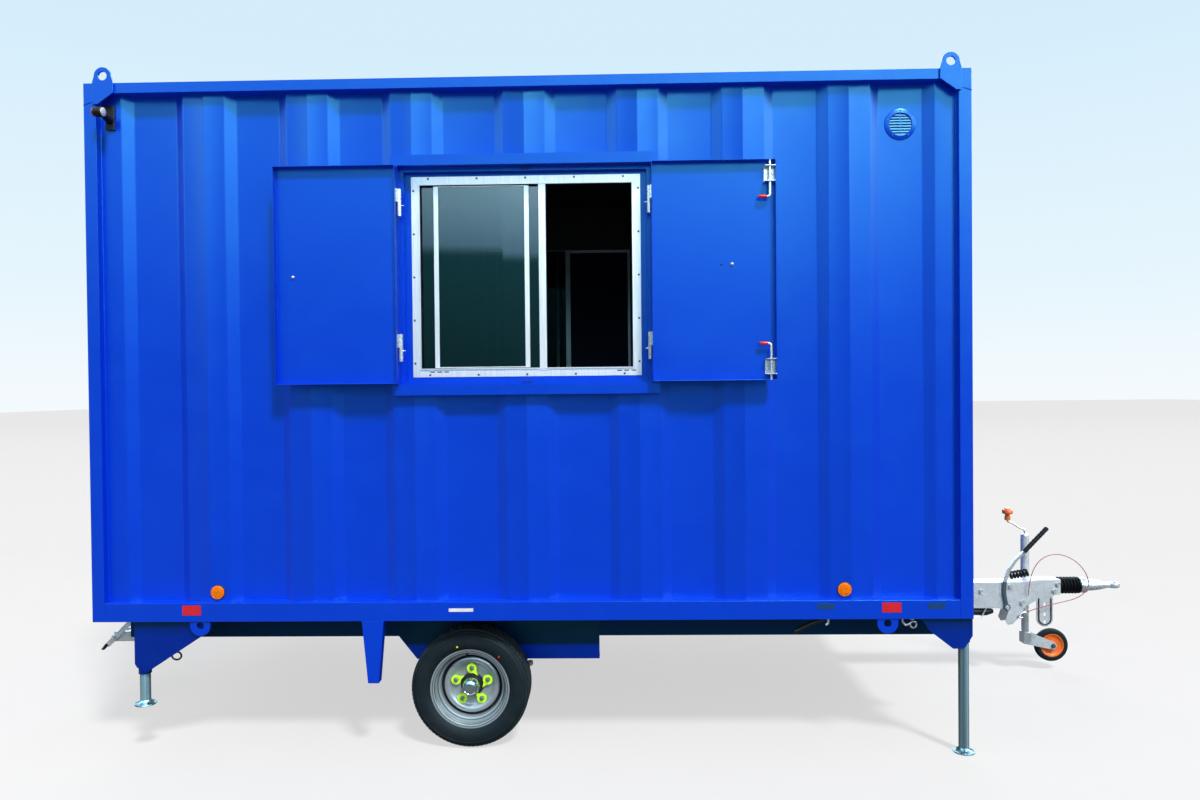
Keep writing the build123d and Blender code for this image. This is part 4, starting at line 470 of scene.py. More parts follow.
def lens(name, colour, facets=170.0, coat=0.5):
    """Clear coloured plastic over small prisms."""
    surface = {"Coat Weight": coat, "Coat Roughness": 0.05, "Specular IOR Level": 0.2}
    material, mix, shader = finish(name, surface)
    prisms = mix.node("ShaderNodeTexVoronoi", {"feature": "F1", "distance": "CHEBYCHEV"},
                      {"Vector": mix.place(), "Scale": facets})
    tone = mix.blend(mix.ramp(prisms, (0.2, 0.0), (0.8, 1.0)), shade(colour, 1.1), shade(colour, 0.62))
    mix.feed(shader.inputs["Base Color"], tone)
    mix.feed(shader.inputs["Roughness"], prisms * 0.15 + 0.12)
    mix.feed(shader.inputs["Normal"], mix.bump(prisms, 0.0008, 0.5))
    return material


def window_glazing():
    """Thin tinted window glass."""
    surface = {"Base Color": (0.30, 0.37, 0.38, 1), "Transmission Weight": 1.0, "IOR": 1.8}
    material, mix, shader = finish("window_glazing", surface)
    smear = mix.noise(3.0, 4)
    mix.feed(shader.inputs["Roughness"], smear * 0.03)
    mix.feed(shader.inputs["Normal"], mix.bump(mix.noise(0.8, 1.0), 0.002, 0.3))
    return material


# The enamel's gloss is tinted, and a bloom of fine dust dulls it.
SKY_TINT = (0.2, 1.0, 0.85, 1)
BLOOM = (0.0, 0.10, 0.72, 1)
BLUE = gloss_paint("cabin_blue", (0.0, 0.029, 0.60, 1), dust=0.06, tint=SKY_TINT, specular=0.8, film=BLOOM)
# The brackets' blue is a darker copy of the cabin blue, painted shade; the beams' blue is a lighter copy,
# painted light on their lower band. Above a height both turn to the painted shadow of the body.
BLUE_UNDER = gloss_paint("underframe_blue_shaded", (0.0, 0.008, 0.26, 1), 0.36, 0.06, 0.5, SKY_TINT, BLOOM,
                         painted_shadow_above=0.575, fade=12.0)
BLUE_BEAM = gloss_paint("beam_blue_lit", (0.0, 0.030, 0.74, 1), 0.36, 0.06, 0.5, SKY_TINT, BLOOM,
                        painted_shadow_above=0.434)
# The chassis rails, floor bearers and pole carriers are a very dark blue.
BLUE_CHASSIS = gloss_paint("very_dark_blue", (0.0, 0.008, 0.07, 1), 0.5, 0.03, 0.3, SKY_TINT, BLOOM)
BLUE_INSIDE = gloss_paint("shaded_blue", (0.0, 0.006, 0.05, 1), 0.5, 0.02, 0.2)
ZINC = zinc_coat("galvanised_zinc", (0.64, 0.70, 0.74, 1), 0.4)
ZINC_BRIGHT = bright_metal("plated_zinc", (0.62, 0.66, 0.68, 1), 0.26, metal=0.6, contrast=0.12)
CAST = zinc_coat("cast_zinc", (0.58, 0.64, 0.67, 1), 0.6, 0.3, 90.0)
BRIGHT = bright_metal("bright_steel", (0.72, 0.73, 0.74, 1), 0.16)
# The props' zinc has strong streaks along the tube: partly drawn grain, partly painted reflection stripes.
LEG_ZINC = bright_metal("leg_zinc", (0.24, 0.42, 0.50, 1), 0.24, (1, 1, 0.004), 0.7, 42.0, 0.75)
DARK_STEEL = bright_metal("dark_steel", (0.10, 0.14, 0.18, 1), 0.35, metal=0.7)
SCREW = bright_metal("dark_screws", (0.10, 0.10, 0.11, 1), 0.4)
FRAME_METAL = bright_metal("window_aluminium", (0.80, 0.84, 0.88, 1), 0.3, (1, 1, 0.04), 0.4)
WHEEL_PAINT = bright_metal("wheel_silver", (0.34, 0.40, 0.44, 1), 0.34, metal=0.45, scale=500.0)
# Dark paint for the rim's creases: painted shade.
WHEEL_SHADE = bright_metal("wheel_recess_shade", (0.07, 0.10, 0.11, 1), 0.4, metal=0.3)
CAP_CHROME = bright_metal("cap_chrome", (0.46, 0.54, 0.56, 1), 0.12)
TYRE = rubber("tyre_rubber", (0.007, 0.014, 0.019, 1), roughness=0.6, dust=0.12, specular=0.12)
# The tread rubber is lighter and dustier than the tyre: dust, and a painted highlight where light catches the
# tread.
TREAD = rubber("tyre_tread_highlight", (0.014, 0.024, 0.029, 1), roughness=0.6, dust=0.5, specular=0.3)
RUBBER = rubber("black_rubber", (0.007, 0.008, 0.010, 1), 0.42, dust=0.12, specular=0.2)
BLACK = gloss_paint("black_enamel", (0.012, 0.012, 0.013, 1), 0.4, 0.04, 0.4)
AMBER = lens("amber_lens", (0.92, 0.20, 0.0, 1), coat=0.1)
RED_LENS = lens("red_lens", (0.50, 0.012, 0.010, 1))
CLEAR_LENS = lens("clear_lens", (0.72, 0.74, 0.76, 1))
ORANGE = plastic("orange_plastic", (0.83, 0.17, 0.02, 1))
RED = plastic("red_sleeve", (0.62, 0.02, 0.02, 1), 0.3)
# The lime pointers glow a little: painted light, as they are no lamp.
LIME = plastic("lime_plastic", (0.50, 0.92, 0.02, 1), 0.4, glow=0.25)
YELLOW = plastic("yellow_dot", (0.85, 0.70, 0.02, 1), 0.4)
WHITE_PLATE = plastic("white_plate", (0.75, 0.77, 0.80, 1), 0.35)
RED_PLATE = plastic("red_plate", (0.60, 0.01, 0.02, 1), 0.35)
DARK_PLATE = plastic("dark_plate", (0.0, 0.045, 0.16, 1), 0.35)
CABLE_RED = plastic("cable_red", (0.40, 0.10, 0.13, 1), 0.4)
# The lining boards and ceiling are near-black: painted shade of the unlit room inside the cabin.
LINING = board("lining_board", (0.055, 0.058, 0.062, 1), 2.0, (1, 1, 12))
FLOOR_BOARD = board("floor_board", (0.05, 0.042, 0.035, 1), 6.0, (1, 8, 1), 0.6)
GLASS = window_glazing()
DARK = rubber("shadow_black", (0.004, 0.004, 0.005, 1), 0.8)


def towards(here, other, distance):
    """The point at a distance from one place towards another."""
    share = distance / math.dist(here, other)
    return tuple(a + (b - a) * share for a, b in zip(here, other))


def folded_line(breaks, start, end, joints):
    """A pressed sheet's line between two places, with eased bends and a weld bead at each joint."""
    line = [breaks[0]]
    for before, here, after in zip(breaks, breaks[1:], breaks[2:]):
        if before[1] == here[1] == after[1]:
            continue
        first = towards(here, before, BEND_EASE)
        last = towards(here, after, BEND_EASE)
        middle = tuple((a + b) / 4 + c / 2 for a, b, c in zip(first, last, here))
        line += [first, middle, last]
    line.append(breaks[-1])
    for joint in joints:
        line += [(joint - 4, 0.0), (joint - 2, -1.2), (joint + 2, -1.2), (joint + 4, 0.0)]
    line.sort()

    def depth(place):
        for a, b in zip(line, line[1:]):
            if a[0] <= place <= b[0] and b[0] > a[0]:
                return a[1] + (b[1] - a[1]) * (place - a[0]) / (b[0] - a[0])
        return line[-1][1]
    kept = [point for point in line if start < point[0] < end]
    return [(start, depth(start))] + kept + [(end, depth(end))]


def pressing(pitches, start):
    """The bends of a pressed wall, and where its panels join."""
    breaks = [(start, 0.0)]
    joints = []
    place = start
    for pitch in pitches:
        rise = place + RIB_MARGIN
        fall = place + pitch - RIB_MARGIN
        breaks += [(rise, 0.0), (rise + RIB_SLOPE, RIB_DEPTH), (fall - RIB_SLOPE, RIB_DEPTH), (fall, 0.0)]
        place += pitch
        joints.append(place)
    breaks.append((place, 0.0))
    return breaks, joints[:-1]


def sheet_prism(shape, line, face, way, low, high, along):
    """A sheet that follows a folded line along X or Y, set back from a face."""
    outer = [(place, face + way * depth) for place, depth in line]
    inner = [(place, face + way * (depth + SHEET)) for place, depth in reversed(line)]
    outline = outer + inner
    if along == "Y":
        outline = [(across, place) for place, across in outline]
    shape.prism(outline, "Z", low, high)


def long_walls():
    """Both long walls, each in four sheets round its window."""
    breaks, joints = pressing(LONG_WALL_PITCHES, POST)
    gap = 0.4
    left = WINDOW_X - WINDOW_CUT_HALF_WIDTH
    right = WINDOW_X + WINDOW_CUT_HALF_WIDTH
    sheets = ((POST, left, SILL, RAIL_UNDER_ROOF),
              (right, LENGTH - POST, SILL, RAIL_UNDER_ROOF),
              (left + gap, right - gap, WINDOW_Z + WINDOW_CUT_HALF_HEIGHT, RAIL_UNDER_ROOF),
              (left + gap, right - gap, SILL, WINDOW_Z - WINDOW_CUT_HALF_HEIGHT))
    for name, node, way in (("near_wall_sheets", "near_wall", 1), ("far_wall_sheets", "far_wall", -1)):
        shape = Shape()
        face = -way * (HALF_WIDTH - LONG_WALL_SET_BACK)
        for start, end, low, high in sheets:
            sheet_prism(shape, folded_line(breaks, start, end, joints), face, way, low, high, "X")
        shape.piece(name, "cabin", [BLUE], "blue_paint", [node])


def end_walls():
    """Both end walls; the rear one is cut out round its door."""
    reach = HALF_WIDTH - POST_ACROSS
    breaks, joints = pressing([2 * reach / END_WALL_RIBS] * END_WALL_RIBS, -reach)
    front = Shape()
    line = folded_line(breaks, -reach, reach, joints)
    sheet_prism(front, line, LENGTH - END_WALL_SET_BACK, -1, SILL, RAIL_UNDER_ROOF, "Y")
    front.piece("front_wall_sheets", "cabin", [BLUE], "blue_paint", ["front_wall"])
    rear = Shape()
    for start, end, low in ((-reach, -DOOR_CUT_HALF, SILL), (DOOR_CUT_HALF, reach, SILL),
                            (-DOOR_CUT_HALF, DOOR_CUT_HALF, DOOR_CUT_TOP)):
        line = folded_line(breaks, start, end, joints)
        sheet_prism(rear, line, END_WALL_SET_BACK, 1, low, RAIL_UNDER_ROOF, "Y")
    rear.piece("rear_wall_sheets", "cabin", [BLUE], "blue_paint", ["rear_wall"])


def seam(shape, points, radius=2.2):
    """A weld bead laid along a line, uneven as a hand weld is."""
    laid = []
    radii = []
    for first, second in zip(points, points[1:]):
        a, b = Vector(first), Vector(second)
        count = max(2, int((b - a).length / 14))
        for i in range(count):
            laid.append(a.lerp(b, i / count))
            radii.append(radius * (1 + 0.25 * math.sin(i * 1.9)))
    laid.append(Vector(points[-1]))
    radii.append(radius)
    shape.tube(laid, radii, sides=6)


def weld_beads():
    """Weld beads at the corner posts and under the plates of the lifting eyes."""
    shape = Shape()
    face = -HALF_WIDTH - 0.5
    inset = -HALF_WIDTH + 0.5
    wall = -HALF_WIDTH + LONG_WALL_SET_BACK
    for end, inward in ((0, 1), (LENGTH, -1)):
        x = end + inward * POST
        seam(shape, [(x, inset, UNDERSIDE + 2), (x, inset, SILL)])
        seam(shape, [(x, inset, RAIL_UNDER_ROOF), (x, inset, ROOF - 2)])
        seam(shape, [(x, wall, SILL + 4), (x, wall, RAIL_UNDER_ROOF - 4)], 2.6)
        seam(shape, [(end, face, ROOF - 104), (end + inward * 150, face, RAIL_UNDER_ROOF)], 1.8)
    shape.twin()
    shape.piece("weld_beads", "cabin", [BLUE], "blue_paint")


def frame_bars(shape, half_width, half_height, width, near, far):
    """Four mitred bars round the window, between two depths."""
    gap = 0.25
    w, h = half_width - width, half_height - width
    signs = ((-1, -1), (1, -1), (1, 1), (-1, 1))
    outer = [Vector((half_width * a, half_height * b)) for a, b in signs]
    inner = [Vector((w * a, h * b)) for a, b in signs]
    for i in range(4):
        j = (i + 1) % 4
        run = (outer[j] - outer[i]).normalized() * gap
        bar = (outer[i] + run, outer[j] - run, inner[j] - run, inner[i] + run)
        shape.prism([(WINDOW_X + p[0], WINDOW_Z + p[1]) for p in bar], "Y", near, far)


def window_frames():
    """Aluminium window frames: mitred face, inner lip, mullion, screws, drain slots and gaskets."""
    shape = Shape()
    screws, rubber_and_slot_shade = 1, 2
    front = WINDOW_FRONT
    frame_bars(shape, 552.5, 483, 38, front, front + 3)
    frame_bars(shape, 516.5, 447, 5, front - 5, front + 3)
    frame_bars(shape, 529.5, 459.5, 3, front + 3, WINDOW_BACK)
    frame_bars(shape, 526.5, 456.5, 12, front + 3, front + 6)
    x = MULLION_X
    shape.block(x - 17, x + 17, front - 3, front + 26, WINDOW_Z - 456, WINDOW_Z + 456)
    shape.block(x - 5, x + 5, front - 6, front - 3, WINDOW_Z - 443, WINDOW_Z + 443)
    shape.paint = screws
    screw = [(5.5, 0), (5.5, -0.8), (3.2, -2.6), (0, -2.6)]
    for reach in (-1, 1):
        for step in range(-2, 3):
            for across, up in ((step * 235, reach * 473), (reach * 542, step * 208)):
                shape.lathe(screw, (WINDOW_X + across, front, WINDOW_Z + up), "Y", 12)
    shape.paint = rubber_and_slot_shade
    # The dark strips for the drain slots are painted shade of the slot openings; the gaskets below are
    # rubber.
    for middle in (-425, 480):
        for step in (-1, 0, 1):
            x = WINDOW_X + middle + step * 34
            shape.block(x - 11, x + 11, front - 0.4, front + 1, WINDOW_Z - 461, WINDOW_Z - 456)
    gasket = 3
    for left, right in ((-512.5, 62), (96, 512.5)):
        for low in (WINDOW_Z - 442, WINDOW_Z + 439):
            shape.block(WINDOW_X + left, WINDOW_X + right, front + 4, front + 7, low, low + gasket)
    for left in (-512.5, 59, 96, 509.5):
        x = WINDOW_X + left
        shape.block(x, x + gasket, front + 4, front + 7, WINDOW_Z - 442, WINDOW_Z + 442)
    shape.twin()
    shape.piece("window_frame_set", "cabin", [FRAME_METAL, SCREW, RUBBER], "window_aluminium",
                ["window_frames"], edge=0.8)


def shutter_staples():
    """The staples at the middle of the upper and lower shutter stops."""
    shape = Shape()
    back, front = -1097, -1106
    for way in (-1, 1):
        z = WINDOW_Z + way * 509
        for offset in (-14, 14):
            left = WINDOW_X + offset - 7
            right = WINDOW_X + offset + 7
            shape.tube([(left, back, z), (left, front, z), (right, front, z), (right, back, z)], 2.2, sides=8)
    shape.piece("shutter_staples", "cabin", [BLACK], "blue_paint")


def grease_nipples():
    """Grease nipples on the fixed halves of the shutter hinges."""
    shape = Shape()
    for way in (1, -1):
        nipple = [(3.4, 0), (3.4, way * 5), (2.0, way * 7), (3.0, way * 10), (1.4, way * 13), (0, way * 13)]
        for z in (WINDOW_Z - 344, WINDOW_Z + 344):
            shape.lathe(nipple, (WINDOW_X - way * (HINGE_REACH - 9.5), -1147, z - 14), "X", 12)
    shape.piece("grease_nipples", "cabin", [BRIGHT], "zinc")


def rounded_path(points, radius, steps=5):
    """A line of points whose corners are rounded."""
    points = [Vector(p) for p in points]
    made = [points[0]]
    for before, here, after in zip(points, points[1:], points[2:]):
        a = here + (before - here).normalized() * radius
        b = here + (after - here).normalized() * radius
        for i in range(steps + 1):
            t = i / steps
            made.append(a.lerp(here, t).lerp(here.lerp(b, t), t))
    made.append(points[-1])
    return made


def shoot_bolts():
    """Bright shoot bolts with bent handles in red sleeves."""
    sleeve = [(7.4, -15), (8.6, -16.5), (8.9, -30), (8.9, -48), (8.0, -52), (5.0, -54), (0, -54.4)]
    for level, way in (("upper", 1), ("lower", -1)):
        node = f"{level}_shoot_bolt"
        shape = Shape()
        tip = WINDOW_Z + way * 511.5
        bend = WINDOW_Z + way * 341.5
        path = rounded_path([(BOLT_X, BOLT_Y, tip), (BOLT_X, BOLT_Y, bend), (BOLT_X - 44, BOLT_Y, bend)], 14)
        shape.tube(path, [5.0] + [6.0] * (len(path) - 1), sides=18)
        shape.lathe([(6.3, -0.5), (8.2, 0), (8.2, 4), (6.3, 4.5)], (BOLT_X, BOLT_Y, bend + way * 92), "Z", 18)
        shape.paint = 1
        shape.lathe(sleeve, (BOLT_X, BOLT_Y, bend), "X", 20)
        shape.piece(f"{level}_bolt_rod", NODE_BODY[node], [ZINC_BRIGHT, RED], "zinc", [node])


def shutter_details():
    """Studs on the shutters, the mark beside the right one, and rivets of the bolt housings."""
    left = Shape()
    left_stud = [(8, 0), (8, -3), (6, -7), (3, -9.5), (0, -10)]
    left.lathe(left_stud, (1000, SHUTTER_FACE, WINDOW_Z - 4), "Y", 20)
    left.piece("left_shutter_stud", "left_shutter", [ZINC_BRIGHT], "zinc")
    right = Shape()
    right_stud = [(9, 0), (9, -3), (7, -8), (3, -11), (0, -11.6)]
    right.lathe(right_stud, (3078, SHUTTER_FACE, WINDOW_Z + 32), "Y", 20)
    for up in (-1, 1):
        for way in (-1, 1):
            right.hexagon((BOLT_X + way * 16, SHUTTER_FACE - 3, WINDOW_Z + up * 453), "Y", 8, -4)
    right.paint = 1
    right.lathe([(5, 0), (5, -0.3), (0, -0.3)], (3028, SHUTTER_FACE, WINDOW_Z + 30), "Y", 16)
    right.piece("right_shutter_stud", "right_shutter", [ZINC_BRIGHT, DARK], "zinc")


def vents():
    """Round louvred vents: turned rim, sloping blades, a middle bar, rim screws, and a black disc behind the
    blades as painted shade inside the vent.
    """
    shape = Shape()
    x, y, z = 3890, -1075, ROOF - 238
    bore = 54
    rim = [(53, 0), (53, -6), (56, -7.5), (60, -6.4), (70, -5.2), (74, -3.5), (75, 0)]
    shape.lathe(rim, (x, y, z), "Y", 64, closed=True)
    blades = 8
    pitch = 13.1
    blade = [(-5.5, -5.5), (-4.3, -5.9), (-0.3, 2.6), (-1.5, 3.0)]
    for step in range(blades):
        level = z - 46 + step * pitch
        half = math.sqrt(max(bore ** 2 - (level - z) ** 2, 0))
        shape.prism([(y + out, level + up) for out, up in blade], "X", x - half, x + half)
    shape.block(x - 1.8, x + 1.8, y - 4, y - 1, z - 52, z + 52)
    for i in range(5):
        angle = math.radians(90 + 72 * i)
        at = (x + 65 * math.cos(angle), y - 5.6, z + 65 * math.sin(angle))
        shape.lathe([(4, 0), (3.6, -1.6), (2, -2.5), (0, -2.7)], at, "Y", 14)
    # A black disc behind the blades: painted shade inside the vent.
    shape.paint = 1
    shape.lathe([(53.5, -0.6), (0, -0.6)], (x, y, z), "Y", 48)
    shape.twin()
    shape.piece("vent_set", "cabin", [BLUE, DARK], NODE_SLOT["vents"], ["vents"])


def reflectors():
    """Amber reflectors: a dark seat ring, a domed lens and its moulded rim."""
    shape = Shape()
    radius = 35
    seat = [(radius, 0), (radius, -4), (33.5, -5.5), (0, -5.5)]
    dome = [(33, -5.5), (32.4, -9), (30, -10.4), (28.6, -9.4), (27, -10.2), (14, -10.8), (0, -11)]
    low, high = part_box("side_reflectors")
    for x in ((low.x - REAR_END) * 1000 + radius, (high.x - REAR_END) * 1000 - radius):
        centre = (x, -1107, UNDERSIDE + 134)
        for profile, paint in ((seat, 1), (dome, 0)):
            shape.paint = paint
            shape.lathe(profile, centre, "Y", 48)
    shape.twin()
    shape.piece("reflector_set", "cabin", [AMBER, RUBBER], NODE_SLOT["side_reflectors"], ["side_reflectors"])


LAMP_AMBER, LAMP_BODY, LAMP_RED, LAMP_CLEAR = range(4)


def stalk_lamp(shape):
    """A marker lamp on a rubber stalk, red to the rear and clear to the front."""
    x, y, z = 110, -1206, ROOF - 157
    shape.paint = LAMP_BODY
    shape.bevelled(x - 22, x + 22, -1119, -1107, z - 58, z + 58, 4)
    arm = [(x, -1117, z - 12), (x, -1140, z - 9), (x, -1172, z - 3), (x, y - 1, z)]
    shape.tube(arm, [21, 16, 13.5, 16], sides=20)
    shape.lathe([(0, -20), (21, -20), (23, -16), (23.4, 16), (21, 20), (0, 20)], (x, y, z), "X", 32)
    for way in (-1, 1):
        shape.hexagon((x, -1119, z + way * 46), "Y", 8, -4)
    for paint, way in ((LAMP_RED, -1), (LAMP_CLEAR, 1)):
        shape.paint = paint
        dome = [(21, way * 20), (20.5, way * 24), (15, way * 27), (0, way * 28)]
        shape.lathe(dome, (x, y, z), "X", 32)


def tail_lamp(shape):
    """A tail lamp on the rear rail: a dark back, a red part and an amber part."""
    y, low = -880, UNDERSIDE + 12
    shape.paint = LAMP_BODY
    shape.block(-10, 0, y - 110, y + 110, low, low + 66)
    shape.paint = LAMP_RED
    shape.block(-30, -10, y - 107, y + 20, low + 3, low + 63)
    shape.paint = LAMP_AMBER
    shape.block(-30, -10, y + 22, y + 107, low + 3, low + 63)


def road_lamps():
    """Stalk marker lamps high by the rear posts, and tail lamps on the rear rail."""
    shape = Shape()
    stalk_lamp(shape)
    tail_lamp(shape)
    shape.twin()
    shape.piece("road_lamp_set", "cabin", [AMBER, RUBBER, RED_LENS, CLEAR_LENS], NODE_SLOT["road_lamps"],
                ["road_lamps"], edge=1.5)


def rail_plates():
    """Small blank plates on the bottom rail: two red, one pale and two dark."""
    shape = Shape()
    face = -HALF_WIDTH
    red, pale, dark = 0, 1, 2
    for paint, middle, half, low, high in ((red, 483, 45, 32, 79), (red, 3817, 45, 32, 79),
                                           (pale, 1779.5, 58.5, 44, 60),
                                           (dark, 3509, 41, 48, 76), (dark, 4027, 41, 48, 76)):
        shape.paint = paint
        shape.block(middle - half, middle + half, face - 0.8, face, UNDERSIDE + low, UNDERSIDE + high)
    shape.piece("rail_plates", "cabin", [RED_PLATE, WHITE_PLATE, DARK_PLATE], "blue_paint")


def mirrored(side):
    """A turned profile's one side, then the same points on its other side in reverse order."""
    return side + [(radius, -across) for radius, across in reversed(side)]


def tread_blocks(shape, middle):
    """Rows of tread blocks: sloping shoulders, and two lanes on each side of the middle groove."""
    x, z = AXLE
    pitch = 2 * math.pi / TREAD_COUNT
    span = pitch * 0.82
    # Each lane's edges hold their distance from the middle, foot radius and top radius.
    for inner, outer, skew in (((60, 272, 284.5), (76, 258.8, 278.5), 0.0),
                               ((29.5, 277, 289.4), (57, 277, 289.4), 0.35),
                               ((2.5, 277, 289.4), (26.5, 277, 289.4), -0.35)):
        shift = 0.5 if skew > 0 else 0.0
        for side in (-1, 1):
            for i in range(TREAD_COUNT):
                start = pitch * (i + skew * side + shift)
                corners = ((start, inner), (start + span, inner),
                           (start + span * 0.9, outer), (start - span * 0.1, outer))
                shape.skin([[(x + edge[level] * math.cos(a), middle + side * edge[0],
                              z + edge[level] * math.sin(a)) for a, edge in corners] for level in (1, 2)])


def tyre(name, body, node, way):
    """A road tyre: ribbed sidewalls, grooves and tread blocks, and two small painted dots."""
    shape = Shape()
    x, z = AXLE
    side = [(177.3, 65), (196, 74), (202, 82), (207, 84), (211, 87), (228, 90.3), (243, 91), (256, 89),
            (258, 89.9), (264, 88.6), (266, 86.9), (274, 80), (281, 70), (283.5, 64)]
    tread = [(278, 63), (278, 60), (284, 59), (284.4, 36), (277, 35), (277, 29), (284.8, 28), (285, 5),
             (277, 4)]
    inside = [(177.3, -35), (196, -32), (262, -50), (272, 0), (262, 50), (196, 32), (177.3, 35)]
    middle = way * (WHEEL_FACE - TYRE_HALF_WIDTH)
    profile = [(radius, way * across) for radius, across in mirrored(side + tread) + inside]
    shape.lathe(profile, (x, middle, z), "Y", 96, closed=True)
    # The tread blocks take the lighter tread rubber: a painted highlight, with dust.
    shape.paint = 1
    tread_blocks(shape, middle)
    shape.piece(name, body, [TYRE, TREAD], "tyre", [node], crease=32)
    dots = Shape()
    dot_ring = 218
    for paint, degrees in ((0, 105), (1, 48)):
        dots.paint = paint
        angle = math.radians(degrees)
        centre = (x + dot_ring * math.cos(angle), way * (WHEEL_FACE - 0.4), z + dot_ring * math.sin(angle))
        dots.lathe([(5, 0), (5, way * 0.6), (0, way * 0.6)], centre, "Y", 14)
    dots.piece(name + "_dots", body, [YELLOW, RED], "tyre")


def nut_places():
    """The places of the wheel nuts round the axle."""
    turns = [math.radians(90 + 360 / NUT_COUNT * i) for i in range(NUT_COUNT)]
    return [(AXLE[0] + NUT_RING * math.cos(a), AXLE[1] + NUT_RING * math.sin(a)) for a in turns]


def road_wheel(name, body, node, way):
    """A pressed steel wheel: rolled rim, dished disc, cap and wheel nuts."""
    shape = Shape()
    hub, cap, gap, shadow = 1, 2, 3, 4
    x, z = AXLE

    def spun(profile, closed=False):
        """Turns (radius, depth behind the wheel's face) points about the axle."""
        shape.lathe([(r, way * (WHEEL_FACE - d)) for r, d in profile], (x, 0, z), "Y", 72, closed)
    rim = [(195, 18), (196, 20), (195, 22.5), (190, 22), (183, 23), (177, 28), (176.5, 52), (172, 60),
           (160, 64), (156, 70), (156, 114), (160, 120), (176, 126), (177, 152), (183, 158), (190, 160),
           (195, 163)]
    well = [(191, 163), (172, 156), (172, 128), (156, 123), (152, 117), (152, 69), (156, 60), (168, 56),
            (172.5, 49), (172.5, 27), (178, 20.5), (186, 18.2), (191, 17.6)]
    spun(rim + well, closed=True)
    disc_front = [(152.6, 95), (150, 88), (146, 93), (143, 95), (140, 90), (135, 79), (129, 76), (118, 77),
                  (108, 82), (102, 89), (98, 91), (60, 91), (57, 93)]
    disc_back = [(56, 97), (98, 97), (112, 86), (128, 82), (136, 88), (144, 101), (152.6, 101)]
    spun(disc_front + disc_back, closed=True)
    # A black ring in the groove between disc and rim: painted shade.
    shape.paint = gap
    groove = [(151.4, 91.0), (149.8, 87.4), (146, 92.4), (143, 94.4), (140.4, 90.0), (138, 85.6)]
    spun(groove + [(r, d + 0.8) for r, d in reversed(groove)], closed=True)
    # Three dark rings on the rim's rolled steps: painted shade in the creases.
    shape.paint = shadow
    for first, last in (((186.4, 17.7), (182.4, 18.9)), ((176.6, 21.7), (173.4, 25.6)),
                        ((167.4, 55.5), (161.6, 57.5))):
        spun([first, last, (last[0], last[1] + 0.7), (first[0], first[1] + 0.7)], closed=True)
    shape.paint = hub
    spun([(56, 96), (56, 88), (54, 84), (48, 83), (46, 78), (45, 70), (42, 60), (37, 57), (0, 57)])
    shape.paint = cap
    spun([(42, 58), (41.5, 44), (39.5, 41), (39, 28), (36, 22), (30, 20), (28, 21.8), (25, 20.4), (8, 18.4),
          (0, 18.2)])
    collar = [(14, 90), (14, 86), (11, 84)]
    head = [(11.2, 86), (11.2, 70), (9.6, 67.5), (0, 67)]
    for nut_x, nut_z in nut_places():
        for profile, sides in ((collar, 24), (head, 6)):
            turned = [(r, way * (WHEEL_FACE - d)) for r, d in profile]
            shape.lathe(turned, (nut_x, 0, nut_z), "Y", sides)
    shape.piece(name, body, [WHEEL_PAINT, BLACK, CAP_CHROME, DARK, WHEEL_SHADE], NODE_SLOT[node], [node],
                crease=32)


def nut_pointers(name, body, node, way):
    """Lime pointers over the wheel nuts, each turned its own way."""
    shape = Shape()
    round_part = 24
    reach = 47
    bore = 13.4
    for (x, z), turned in zip(nut_places(), (-50, 25, 60, 140, 235)):
        outline = [(round_part, turned + 24 + i * 13) for i in range(25)] + [(reach, turned)]
        hole = [(bore, turned + i * 15) for i in range(24)]
        outline, hole = [[(x + r * math.cos(math.radians(a)), z + r * math.sin(math.radians(a)))
                          for r, a in line] for line in (outline, hole)]
        ring_plate(shape, outline, hole, way * (WHEEL_FACE - 80), way * (WHEEL_FACE - 76))
    shape.piece(name, body, [LIME], NODE_SLOT[node], edge=0.4)


def tyre_valve(name, body, node, way):
    """The rubber tyre valve, leaning in over the disc."""
    shape = Shape()
    outward = Vector((math.cos(math.radians(96)), 0, math.sin(math.radians(96))))
    start = Vector((AXLE[0], way * (WHEEL_FACE - 58), AXLE[1])) + outward * 166
    end = start - outward * 12 + Vector((0, way * 26, 0))
    shape.tube([start, start.lerp(end, 0.35), start.lerp(end, 0.7), end], [7.5, 5, 4.4, 4.6], sides=14)
    shape.piece(name, body, [RUBBER], NODE_SLOT[node])


def ring_plate(shape, outline, hole, start, end):
    """A plate with one hole, pushed along Y."""
    edges = []
    for loop in (outline, hole):
        verts = [shape.corner((p[0], start, p[1])) for p in loop]
        edges += [shape.mesh.edges.new(pair) for pair in zip(verts, verts[1:] + verts[:1])]
    made = bmesh.ops.triangle_fill(shape.mesh, use_beauty=True, use_dissolve=False, edges=edges)["geom"]
    faces = [item for item in made if isinstance(item, bmesh.types.BMFace)]
    pushed = bmesh.ops.extrude_face_region(shape.mesh, geom=faces)["geom"]
    for item in pushed:
        if isinstance(item, bmesh.types.BMVert):
            item.co.y += end - start


def prop_leg(name, node, x, y, foot, top):
    """A galvanised prop: a tube welded to a dished foot."""
    shape = Shape()
    shape.lathe([(24, foot + 16), (24, top), (20, top), (20, foot + 16)], (x, y, 0), "Z", 40, closed=True)
    dish = [(0, foot), (44, foot), (48, foot + 1), (50, foot + 4), (49, foot + 7.5), (43, foot + 9),
            (32, foot + 12), (28, foot + 16), (25.6, foot + 21), (24.4, foot + 24), (0, foot + 24)]
    shape.lathe(dish, (x, y, 0), "Z", 48)
    shape.piece(name, NODE_BODY[node], [LEG_ZINC], NODE_SLOT[node], [node])


